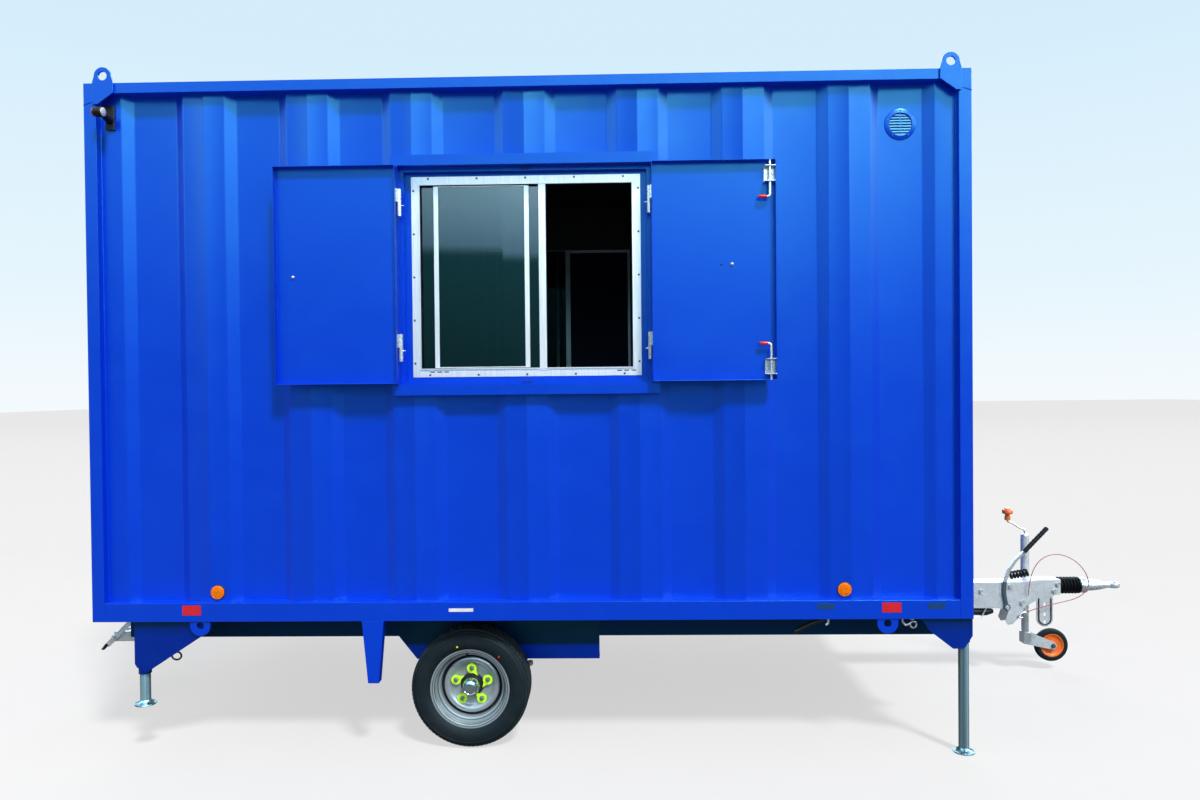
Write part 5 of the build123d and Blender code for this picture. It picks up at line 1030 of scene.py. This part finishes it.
def prop_legs():
    """All four prop legs, with the pull rings by the rear pair."""
    for way, side in ((-1, "near"), (1, "far")):
        prop_leg(f"{side}_front_prop", f"front_leg_{side}", 4170, way * 1095, 0, UNDERSIDE + 240)
        low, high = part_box(f"rear_leg_{side}")
        middle = (low.y + high.y) * 500
        prop_leg(f"{side}_rear_prop", f"rear_leg_{side}", 222, middle, low.z * 1000, UNDERSIDE - 6)
    rings = Shape()
    rings.block(372, 396, -1116, -1106, UNDERSIDE - 158, UNDERSIDE - 138)
    turns = [2 * math.pi * i / 24 for i in range(25)]
    ring = [(390 + 23 * math.cos(a), -1112, UNDERSIDE - 172 + 19 * math.sin(a)) for a in turns]
    rings.paint = 1
    rings.tube(ring, 4.5, sides=10, ends=False)
    rings.twin()
    rings.piece("leg_pull_rings", "cabin", [ZINC_BRIGHT, RUBBER], "zinc")


def bellows():
    """The rubber gaiter with rounded folds and its clamp ring at the collar."""
    shape = Shape()
    folds = 6
    fold_steps = 10
    length = 118.0
    bore = 30
    profile = [(bore, 0)]
    for i in range(folds * fold_steps + 1):
        t = i / (folds * fold_steps)
        profile.append((43.5 - 7.0 * math.cos(2 * math.pi * t * folds), 1 + t * (length - 2)))
    profile += [(41, length), (48, length + 2), (49, length + 8), (46, length + 13), (34, length + 14),
                (bore, length + 14)]
    shape.lathe([(r, HOUSING_FRONT + d) for r, d in profile], (0, 0, COUPLING_Z), "X", 56, closed=True)
    made = shape.piece("coupling_gaiter", "cabin", [RUBBER], "black_rubber", ["bellows"])
    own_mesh(made)


def towing_eye():
    """The forged coupling shaft: collar with grease groove, tapered shank and flat eye."""
    shape = Shape()
    z = COUPLING_Z
    collar = HOUSING_FRONT + 120
    profile = [(25, 4945), (25, collar), (43, collar), (45.5, collar + 3), (45.5, collar + 18),
               (42.5, collar + 20), (42.5, collar + 27), (45.5, collar + 29), (45.5, collar + 47),
               (42, collar + 51), (34, collar + 53), (33, collar + 58), (33, collar + 92), (30, collar + 106)]
    shape.lathe(profile, (0, 0, z), "X", 48)
    shank = collar + 104
    shank_end = EYE_X - 31
    round_radius = 30.5
    end_half_width = 27
    end_half_height = 14
    sections = []
    for i in range(9):
        t = i / 8
        ease = t * t * (3 - 2 * t)
        wide = round_radius + (end_half_width - round_radius) * ease
        tall = round_radius + (end_half_height - round_radius) * ease
        power = 2 / (2 + 1.8 * ease)
        x = shank + (shank_end - shank) * t
        ring = []
        for k in range(32):
            c, s = math.cos(2 * math.pi * k / 32), math.sin(2 * math.pi * k / 32)
            across = wide * math.copysign(abs(c) ** power, c)
            up = tall * math.copysign(abs(s) ** power, s)
            ring.append((x, across, z + up))
        sections.append(ring)
    shape.skin(sections)
    eye_top = [(20, 9), (23, 13.6), (29, 14.6), (33.4, 12), (35, 6)]
    shape.lathe(mirrored(eye_top), (EYE_X, 0, z), "Z", 56, closed=True)
    shape.piece("towing_eye_shaft", "towing_eye", [CAST], NODE_SLOT["coupling_eye"], ["coupling_eye"])


def lever_and_grip():
    """The bent handbrake lever with its ribbed black grip, and the pivot bolt."""
    y = LEVER_Y
    pivot_x, pivot_z = LEVER_PIVOT
    bar = [(pivot_x, y, pivot_z), (4822, y, 500), (4824, y, 570), (4850, y, 650), (4890, y, 708),
           (4935, y, 752), (4945, y, 762.4)]
    path = rounded_path(bar, 8, 4)
    section = [(-1, -0.7), (-0.4, -1), (0.4, -1), (1, -0.7), (1, 0.7), (0.4, 1), (-0.4, 1), (-1, 0.7)]
    half_thick = 3.6
    half_deep = 11
    out = Vector((0, 1, 0))
    bright, grip, dark = 0, 1, 2
    shape = Shape()
    rings = []
    for i, point in enumerate(path):
        ahead = (path[min(i + 1, len(path) - 1)] - path[max(i - 1, 0)]).normalized()
        up = ahead.cross(out)
        rings.append([point + half_thick * a * out + half_deep * b * up for a, b in section])
    shape.skin(rings)
    boss = [(8.1, y - 4), (19, y - 4), (20, y - 3), (20, y + 3), (19, y + 4), (8.1, y + 4)]
    shape.lathe(boss, (pivot_x, 0, pivot_z), "Y", 32, closed=True)
    for face in shape.mesh.faces:
        face.material_index = dark if face.calc_center_median().z < 590 else bright
    shape.paint = grip
    start, end = Vector((4939, y, 756)), Vector((5077, y, 900))
    points, radii = [], []
    for i in range(41):
        t = i / 40
        points.append(start.lerp(end, t))
        ridge = 0.9 * math.cos(2 * math.pi * t * 9) if 0.12 < t < 0.9 else 0
        tip = 1 if t < 0.96 else math.sqrt(max(0.1, 1 - ((t - 0.96) / 0.045) ** 2))
        radii.append((13.4 + ridge) * tip)
    shape.tube(points, radii, sides=24)
    shape.piece("handbrake_lever_and_grip", "handbrake", [ZINC_BRIGHT, RUBBER, DARK_STEEL],
                NODE_SLOT["handbrake_lever"], ["handbrake_lever"])
    bolt = Shape()
    bolt.hexagon((pivot_x, -65, pivot_z), "Y", 17, -8)
    bolt.lathe([(13, 0), (13, -2), (8, -2)], (pivot_x, -63.2, pivot_z), "Y", 24)
    bolt.piece("lever_pivot_bolt", "cabin", [ZINC_BRIGHT], "zinc")


def coil(shape, start, end, radius, wire, turns):
    """A wound spring between two points."""
    start, end = Vector(start), Vector(end)
    ahead = (end - start).normalized()
    side = ahead.orthogonal().normalized()
    other = ahead.cross(side)
    turn_steps = 14
    count = turns * turn_steps
    points = []
    for i in range(count + 1):
        a = 2 * math.pi * i / turn_steps
        points.append(start.lerp(end, i / count) + radius * (math.cos(a) * side + math.sin(a) * other))
    shape.tube(points, wire, sides=10)


def housing_fittings():
    """Bolts, a stay, a hook, the lever's spring and the strap along the drawbar's housing."""
    shape = Shape()
    face = HOUSING_SIDE
    for x, z in ((4688, 520), (4860, 548), (4930, 452), (5120, 520), (5140, 560), (4836, 552)):
        shape.hexagon((x, face, z), "Y", 19, -9)
        shape.lathe([(15, 0), (15, -2.4), (9, -2.4)], (x, face, z), "Y", 24)
    shape.tube(rounded_path([(4600, -40, 362), (4694, -40, 362), (4748, -40, 462)], 12), 4, sides=10)
    y = face - 8
    hook = [(4950, y, 396), (4930, y, 392), (4912, y, 380), (4905, y, 366), (4916, y, 360), (4932, y, 364)]
    shape.tube(rounded_path(hook, 5), 5, sides=10)
    shape.block(4944, 4956, face - 6, face, 388, 424)
    shape.paint = 1
    coil(shape, (4866, -22, 606), (4980, -22, 626), 19, 6.5, 6)
    shape.lathe([(9, 0), (9, 12)], (4840, -22, 588), "X", 16)
    strap_x, strap_z, bend = 5064, 356, 36
    turns = [math.pi + math.pi * i / 16 for i in range(17)]
    strap = [(strap_x - bend, face - 3, 476)]
    strap += [(strap_x + bend * math.cos(a), face - 3, strap_z + bend * math.sin(a)) for a in turns]
    strap.append((strap_x + bend, face - 3, 476))
    shape.tube(strap, 3.5, sides=8)
    shape.piece("housing_fittings", "cabin", [ZINC_BRIGHT, RUBBER], "zinc")


def spring_cylinder():
    """The black spring cylinder with its tapered head, brackets and bands."""
    shape = Shape()
    z = 388
    shape.lathe([(0, 4100), (20, 4100), (23.5, 4104), (23.5, 4735), (22, 4742), (21, 4752), (16, 4768),
                 (12, 4778), (8, 4780), (0, 4780)], (0, 0, z), "X", 40)
    for x in (4140, 4700):
        shape.block(x, x + 40, -10, 10, z, 417)
        shape.lathe([(23.7, x - 3), (25.2, x - 1), (25.2, x + 41), (23.7, x + 43)], (0, 0, z), "X", 40)
    shape.piece("brake_cylinder", "cabin", [BLACK], "black_paint", ["brake_spring_cylinder"])


def jockey_wheel():
    """The small orange wheel with its rubber tyre, and the nuts of its axle."""
    x, y = JOCKEY[0] + JOCKEY_TRAIL, JOCKEY[1]
    low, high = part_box("jockey_wheel")
    z = (low.z + high.z) * 500
    wheel = Shape()
    orange, rubber_tyre = 0, 1
    wheel.paint = rubber_tyre
    tyre_side = [(71, 20), (84, 21.4), (92, 20), (97, 15), (99.4, 8)]
    profile = tyre_side + [(100, 0)] + [(r, -d) for r, d in reversed(tyre_side)]
    wheel.lathe(profile, (x, y, z), "Y", 64, closed=True)
    wheel.paint = orange
    hub_side = [(8.05, 21), (21, 21), (23, 18), (25, 11), (30, 9.5), (56, 11), (61, 14), (64, 18.6),
                (70, 19.5), (73, 17.5)]
    wheel.lathe(mirrored(hub_side), (x, y, z), "Y", 64, closed=True)
    wheel.piece("jockey_roller_wheel", "jockey_roller", [ORANGE, TYRE], NODE_SLOT["jockey_wheel"],
                ["jockey_wheel"])
    nuts = Shape()
    for way in (-1, 1):
        washer = [(0, 32), (13, 32), (14, 33), (14, 35), (0, 35)]
        nuts.lathe([(r, way * d) for r, d in washer], (x, y, z), "Y", 24)
        nuts.hexagon((x, y + way * 35, z), "Y", 17, way * 8)
    nuts.piece("jockey_axle_nuts", "jockey_swivel", [DARK_STEEL], "zinc")


def jockey_crank():
    """The jockey's crank with its wing knob, and the toggle of the clamp on the housing."""
    crank = Shape()
    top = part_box("jockey_crank")[0].z * 1000
    x, y = JOCKEY
    throw = 104
    crank.lathe([(0, top), (22, top), (23, top + 1), (23, top + 14), (20, top + 19), (12, top + 24),
                 (0, top + 24)], (x, y, 0), "Z", 40)
    elbow = top + 46
    bend = [(x, y, top + 20), (x, y, elbow), (x - 34, y, elbow + 12), (x - 82, y, elbow + 46),
            (x - throw, y, elbow + 48), (x - throw, y, elbow + 62)]
    crank.tube(rounded_path(bend, 12), 5.5, sides=16)
    crank.paint = 1
    foot = elbow + 60
    knob = [(0, 0), (15, 0), (17, 2), (17, 24), (13, 28), (13, 34), (27, 39), (31, 44), (31, 58), (27, 64),
            (20, 66), (18, 72), (0, 72)]
    crank.lathe(knob, (x - throw, y, foot), "Z", 28)
    crank.piece("jockey_crank_handle", "jockey_handle", [ZINC_BRIGHT, ORANGE], NODE_SLOT["jockey_crank"],
                ["jockey_crank"])
    toggle = Shape()
    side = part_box("coupling_housing")[1].y * 1000
    z = 520
    toggle.tube([(x - 10, side - 2, z), (x - 10, side + 16, z)], 6, sides=12)
    toggle.tube([(x - 45, side + 14, z), (x + 25, side + 14, z)], 5, sides=12)
    toggle.piece("clamp_toggle", "cabin", [ZINC_BRIGHT], "zinc")


CABLE_DIAMETER = 0.005


def breakaway_cable():
    """The loose red cable from its clip round over the coupling to the housing."""
    route = [(4925, -53, 385), (4962, -66, 402), (5010, -74, 424), (5062, -76, 436), (5118, -76, 452),
             (5176, -76, 464), (5234, -76, 480), (5284, -76, 510), (5312, -74, 556), (5306, -70, 610),
             (5280, -64, 660), (5238, -60, 702), (5186, -58, 730), (5128, -58, 742), (5072, -60, 732),
             (5024, -64, 702), (4990, -70, 656), (4970, -74, 604), (4962, -72, 548), (4962, -60, 498)]
    line = bpy.data.curves.new("breakaway_cable_line", "CURVE")
    line.dimensions = "3D"
    line.bevel_depth = CABLE_DIAMETER / 2
    line.bevel_resolution = 4
    line.resolution_u = 12
    line.use_fill_caps = True
    spline = line.splines.new("NURBS")
    spline.points.add(len(route) - 1)
    for point, place in zip(spline.points, route):
        point.co = (*metres(*place), 1)
    spline.order_u = 3
    spline.use_endpoint_u = True
    line.materials.append(CABLE_RED)
    made = bpy.data.objects.new("breakaway_cable_red", line)
    bpy.context.collection.objects.link(made)
    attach(made, "cabin")
    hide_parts("breakaway_cable")


def door_furniture():
    """Handle, lock plate, hinges and drip strip of the rear door."""
    shape = Shape()
    for level in (190, 990, 1790):
        for radius, half, steps in ((9, 60, 24), (4, 66, 16)):
            shape.lathe([(radius, -half), (radius, half)], (-4, 436, SILL + level), "Z", steps)
    shape.block(2, 6, -405, -355, SILL + 850, SILL + 1080)
    grip = SILL + 990
    shape.tube(rounded_path([(4, -380, grip), (-46, -380, grip), (-46, -262, grip)], 14), 8, sides=16)
    shape.lathe([(12, 0), (12, -5), (7, -6), (0, -6)], (6, -380, SILL + 900), "X", 20)
    shape.paint = 1
    shape.block(-24, 12, -480, 480, SILL + 2042, SILL + 2050)
    shape.piece("door_furniture", "cabin", [ZINC_BRIGHT, BLUE], "zinc", edge=0.8)


def underframe_fittings():
    """Bolt heads of the side beams and axle, hooks under the rail, a fitting by the wheel and a hose."""
    shape = Shape()
    for x in (1500, 1620, 2200, 2330):
        for way in (-1, 1):
            place = (x, way * 831, UNDERSIDE - 60)
            shape.hexagon(place, "Y", 24, way * 12)
            shape.lathe([(20, 0), (20, way * 3), (12, way * 3)], place, "Y", 24)
    for x in (AXLE[0] - 40, AXLE[0] + 40):
        for y in (-858, -800, 800, 858):
            shape.hexagon((x, y, UNDERSIDE - 274), "Z", 19, 10)
    top = UNDERSIDE
    hook = [(3880, -1100, top), (3880, -1100, top - 24), (3895, -1100, top - 42), (3915, -1100, top - 32)]
    shape.tube(rounded_path(hook, 8), 5, sides=10)
    turns = [2 * math.pi * i / 20 for i in range(21)]
    ring = [(3932 + 15 * math.cos(a), -1100, top - 38 + 15 * math.sin(a)) for a in turns]
    shape.tube(ring, 4, sides=8, ends=False)
    shape.hexagon((3926, -1100, top - 14), "Z", 17, 14)
    clip = [(3526, -1112, top), (3526, -1112, top - 28), (3514, -1112, top - 34)]
    shape.tube(rounded_path(clip, 8), 6, sides=10)
    shape.hexagon((2075, -838, 362), "Z", 24, -16)
    shape.lathe([(8, 362), (8, 336), (0, 334)], (2075, -838, 0), "Z", 16)
    shape.paint = 1
    hose = [(3540, -1090, top - 6), (3450, -1090, top - 34), (3372, -1090, top - 72)]
    shape.tube(hose, [11, 12, 12], sides=16)
    shape.piece("underframe_fittings", "cabin", [ZINC_BRIGHT, RUBBER], "zinc")


def step_tips():
    """Black tips and stay bolts of the rear step."""
    shape = Shape()
    black, zinc = 0, 1
    for way in (-1, 1):
        y = way * 304
        shape.paint = black
        shape.prism([(-472, 268), (-458, 264), (-430, 292), (-444, 302)], "Y", y - 7, y + 7)
        shape.paint = zinc
        for x, z in ((-396, 342), (-8, UNDERSIDE + 44)):
            shape.hexagon((x, way * 308, z), "Y", 17, way * 8)
    shape.piece("step_tips", "cabin", [RUBBER, ZINC_BRIGHT], "zinc")


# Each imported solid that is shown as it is, with its finish and the width of its eased edges.
FINISHED = {
    "corner_posts": (BLUE, 3.0), "top_rails": (BLUE, 3.0), "bottom_rails": (BLUE, 3.0),
    "lifting_eyes": (BLUE, 1.5), "window_surrounds": (BLUE, 1.0), "near_shutter_left": (BLUE, 0.9),
    "near_shutter_right": (BLUE, 0.9), "far_shutters": (BLUE, 0.9), "rear_door": (BLUE, 2.0),
    "rear_door_frame": (BLUE, 1.5), "roof_sheet": (BLUE, 0), "side_beams": (BLUE_BEAM, 1.5),
    "stand_legs": (BLUE, 1.5), "leg_brackets": (BLUE_UNDER, 1.2), "tie_down_eyes": (BLUE, 1.5),
    "chassis_rails": (BLUE_CHASSIS, 2.0), "floor_bearers": (BLUE_CHASSIS, 1.5),
    "pole_carriers": (BLUE_CHASSIS, 1.5), "axle": (ZINC, 2.0), "drawbar_pole": (ZINC, 3.0),
    "coupling_housing": (ZINC, 1.5), "rear_step": (ZINC, 0.7), "shutter_hinge_pins": (ZINC_BRIGHT, 0.8),
    "left_hinge_leaves": (ZINC_BRIGHT, 0.8), "right_hinge_leaves": (ZINC_BRIGHT, 0.8),
    "bolt_housings": (ZINC_BRIGHT, 0.8), "window_sashes": (FRAME_METAL, 1.0), "jockey_tube": (ZINC, 0.8),
    "jockey_fork": (ZINC, 1.0), "lining_boards": (LINING, 0), "ceiling": (LINING, 0),
    "floor_deck": (FLOOR_BOARD, 0), "window_glass": (GLASS, 0), "jockey_nut": (ZINC, 0),
}


def finished_nodes():
    """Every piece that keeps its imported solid's shape."""
    for node, (surface, edge) in FINISHED.items():
        inside = BLUE_INSIDE if node == "far_shutters" else None
        finished_node(node, surface, edge, inside)


EYE = (2540, -5218, 1749)
LENS = 25.84
TURN_LEFT = 1.246
TILT_DOWN = 0.744
LEAN = -0.566


def view_camera():
    """The photograph's view of the cabin."""
    lens_data = bpy.data.cameras.new("view")
    lens_data.lens = LENS
    lens_data.sensor_width = 36
    lens_data.clip_end = 200
    view = bpy.data.objects.new("view", lens_data)
    turn = Matrix.Rotation(math.radians(TURN_LEFT), 4, "Z")
    tilt = Matrix.Rotation(math.radians(90 - TILT_DOWN), 4, "X")
    lean = Matrix.Rotation(math.radians(LEAN), 4, "Z")
    view.matrix_world = Matrix.Translation(metres(*EYE)) @ turn @ tilt @ lean
    bpy.context.collection.objects.link(view)
    bpy.context.scene.camera = view
    bpy.context.scene.view_settings.view_transform = "Standard"


def lamps():
    """A broad key light from the right, a weaker one from the left, and one behind the cabin."""
    for name, place, spread, power, tint in (("key", (3.4, -6.0, 8.6), 9, 3.3, (1.0, 0.99, 0.97)),
                                             ("side", (-7.0, -4.0, 4.0), 40, 0.35, (0.92, 0.97, 1.0)),
                                             ("rim", (-2.0, 8.0, 6.0), 40, 0.7, (1.0, 1.0, 1.0))):
        lamp_data = bpy.data.lights.new(name, "SUN")
        lamp_data.angle = math.radians(spread)
        lamp_data.energy = power
        lamp_data.color = tint
        lamp = bpy.data.objects.new(name, lamp_data)
        lamp.rotation_euler = (-Vector(place)).to_track_quat("-Z", "Y").to_euler()
        lamp.location = place
        bpy.context.collection.objects.link(lamp)


# Each sky's colours by height: the backdrop, and what the cabin mirrors on the left and on the right.
BACKDROP = [(0.0, (0.90, 0.955, 0.985, 1)), (0.10, (0.80, 0.92, 0.985, 1)), (0.36, (0.66, 0.85, 0.975, 1))]
DULL_SIDE = [(0.0, (0.003, 0.015, 0.018, 1)), (0.135, (0.004, 0.026, 0.031, 1)),
             (0.145, (0.045, 0.09, 0.125, 1)), (0.35, (0.16, 0.27, 0.36, 1)), (0.55, (0.10, 0.14, 0.17, 1))]
OPEN_SIDE = [(0.0, (0.006, 0.022, 0.026, 1)), (0.135, (0.012, 0.045, 0.055, 1)),
             (0.145, (0.08, 0.18, 0.26, 1)), (0.24, (0.36, 0.56, 0.64, 1)), (0.38, (0.95, 1.0, 0.95, 1)),
             (0.55, (0.12, 0.15, 0.17, 1))]


def sky():
    """A pale backdrop for the view, a bluer sky for reflections and an even light for the rest."""
    world = bpy.data.worlds.new("sky")
    bpy.context.scene.world = world
    world.use_nodes = True
    world.node_tree.nodes.clear()
    mix = Mixer(world.node_tree)

    def backing(colour, strength=1.0):
        return mix.node("ShaderNodeBackground", None, {"Color": colour, "Strength": strength})

    def coloured(stops, height):
        return mix.node("ShaderNodeValToRGB", {"stops": stops}, {"Fac": height})
    seen = mix.node("ShaderNodeLightPath", output="Is Camera Ray")
    glossy = mix.node("ShaderNodeLightPath", output="Is Glossy Ray")
    place = mix.node("ShaderNodeTexCoord", output="Generated")
    up = mix.node("ShaderNodeSeparateXYZ", None, {"Vector": place}, output="Z")
    across = mix.node("ShaderNodeSeparateXYZ", None, {"Vector": place}, output="X")
    plot = mix.node("ShaderNodeMath", {"operation": "SNAP"}, {0: across + 0.13, 1: 0.21})
    roofs = up - mix.node("ShaderNodeTexWhiteNoise", {"noise_dimensions": "1D"}, {"W": plot}) * 0.02
    side = mix.ramp(across * 0.5 + 0.5, (0.34, 0.0), (0.68, 1.0))
    reflected = backing(mix.blend(side, coloured(DULL_SIDE, roofs), coloured(OPEN_SIDE, roofs)), 10.0)
    even = backing((0.96, 0.98, 1.0, 1), 0.54)
    inner = mix.node("ShaderNodeMixShader", None, {0: glossy, 1: even, 2: reflected})
    both = mix.node("ShaderNodeMixShader", None, {0: seen, 1: inner, 2: backing(coloured(BACKDROP, up))})
    mix.node("ShaderNodeOutputWorld", None, {"Surface": both})


def ground():
    """A plain pale floor."""
    data = bpy.data.meshes.new("ground")
    data.from_pydata([(-60, -30, 0), (60, -30, 0), (60, 90, 0), (-60, 90, 0)], [], [(0, 1, 2, 3)])
    floor = bpy.data.objects.new("ground", data)
    bpy.context.collection.objects.link(floor)
    material, mix, shader = finish("pale_floor", {"Roughness": 0.9, "Specular IOR Level": 0.0})
    speck = mix.noise(3.0, 4)
    mix.feed(shader.inputs["Base Color"], mix.blend(speck, (0.21, 0.21, 0.21, 1), (0.23, 0.23, 0.23, 1)))
    far = mix.node("ShaderNodeSeparateXYZ", None, {"Vector": mix.place()}, output="Y")
    glow = mix.ramp((far + 5.0) * 0.02, (0.0, 0.66), (0.18, 0.55), (1.0, 0.47))
    mix.feed(shader.inputs["Emission Color"], mix.blend(glow, (0.0, 0.0, 0.0, 1), (1.0, 1.0, 1.0, 1)))
    shader.inputs["Emission Strength"].default_value = 1.0
    # Only the camera sees the bright floor, so that little light comes back from it under the cabin.
    dim = mix.node("ShaderNodeBsdfDiffuse", None, {"Color": (0.20, 0.20, 0.20, 1)})
    seen = mix.node("ShaderNodeLightPath", output="Is Camera Ray")
    both = mix.node("ShaderNodeMixShader", None, {0: seen, 1: dim, 2: Value(mix, shader.outputs["BSDF"])})
    mix.feed(material.node_tree.nodes["Material Output"].inputs["Surface"], both)
    data.materials.append(material)


view_camera()
breakaway_cable()
lamps()
sky()
ground()
finished_nodes()
long_walls()
end_walls()
weld_beads()
window_frames()
shutter_staples()
grease_nipples()
shoot_bolts()
shutter_details()
vents()
reflectors()
road_lamps()
rail_plates()
for side, way in (("near", -1), ("far", 1)):
    tyre(f"{side}_road_tyre", f"{side}_wheel", f"{side}_tyre", way)
    road_wheel(f"{side}_road_wheel", f"{side}_wheel", f"{side}_rim", way)
    nut_pointers(f"{side}_road_wheel_pointers", f"{side}_wheel", f"{side}_rim", way)
    tyre_valve(f"{side}_road_wheel_valve", f"{side}_wheel", f"{side}_rim", way)
prop_legs()
bellows()
towing_eye()
lever_and_grip()
housing_fittings()
spring_cylinder()
jockey_wheel()
jockey_crank()
door_furniture()
underframe_fittings()
step_tips()
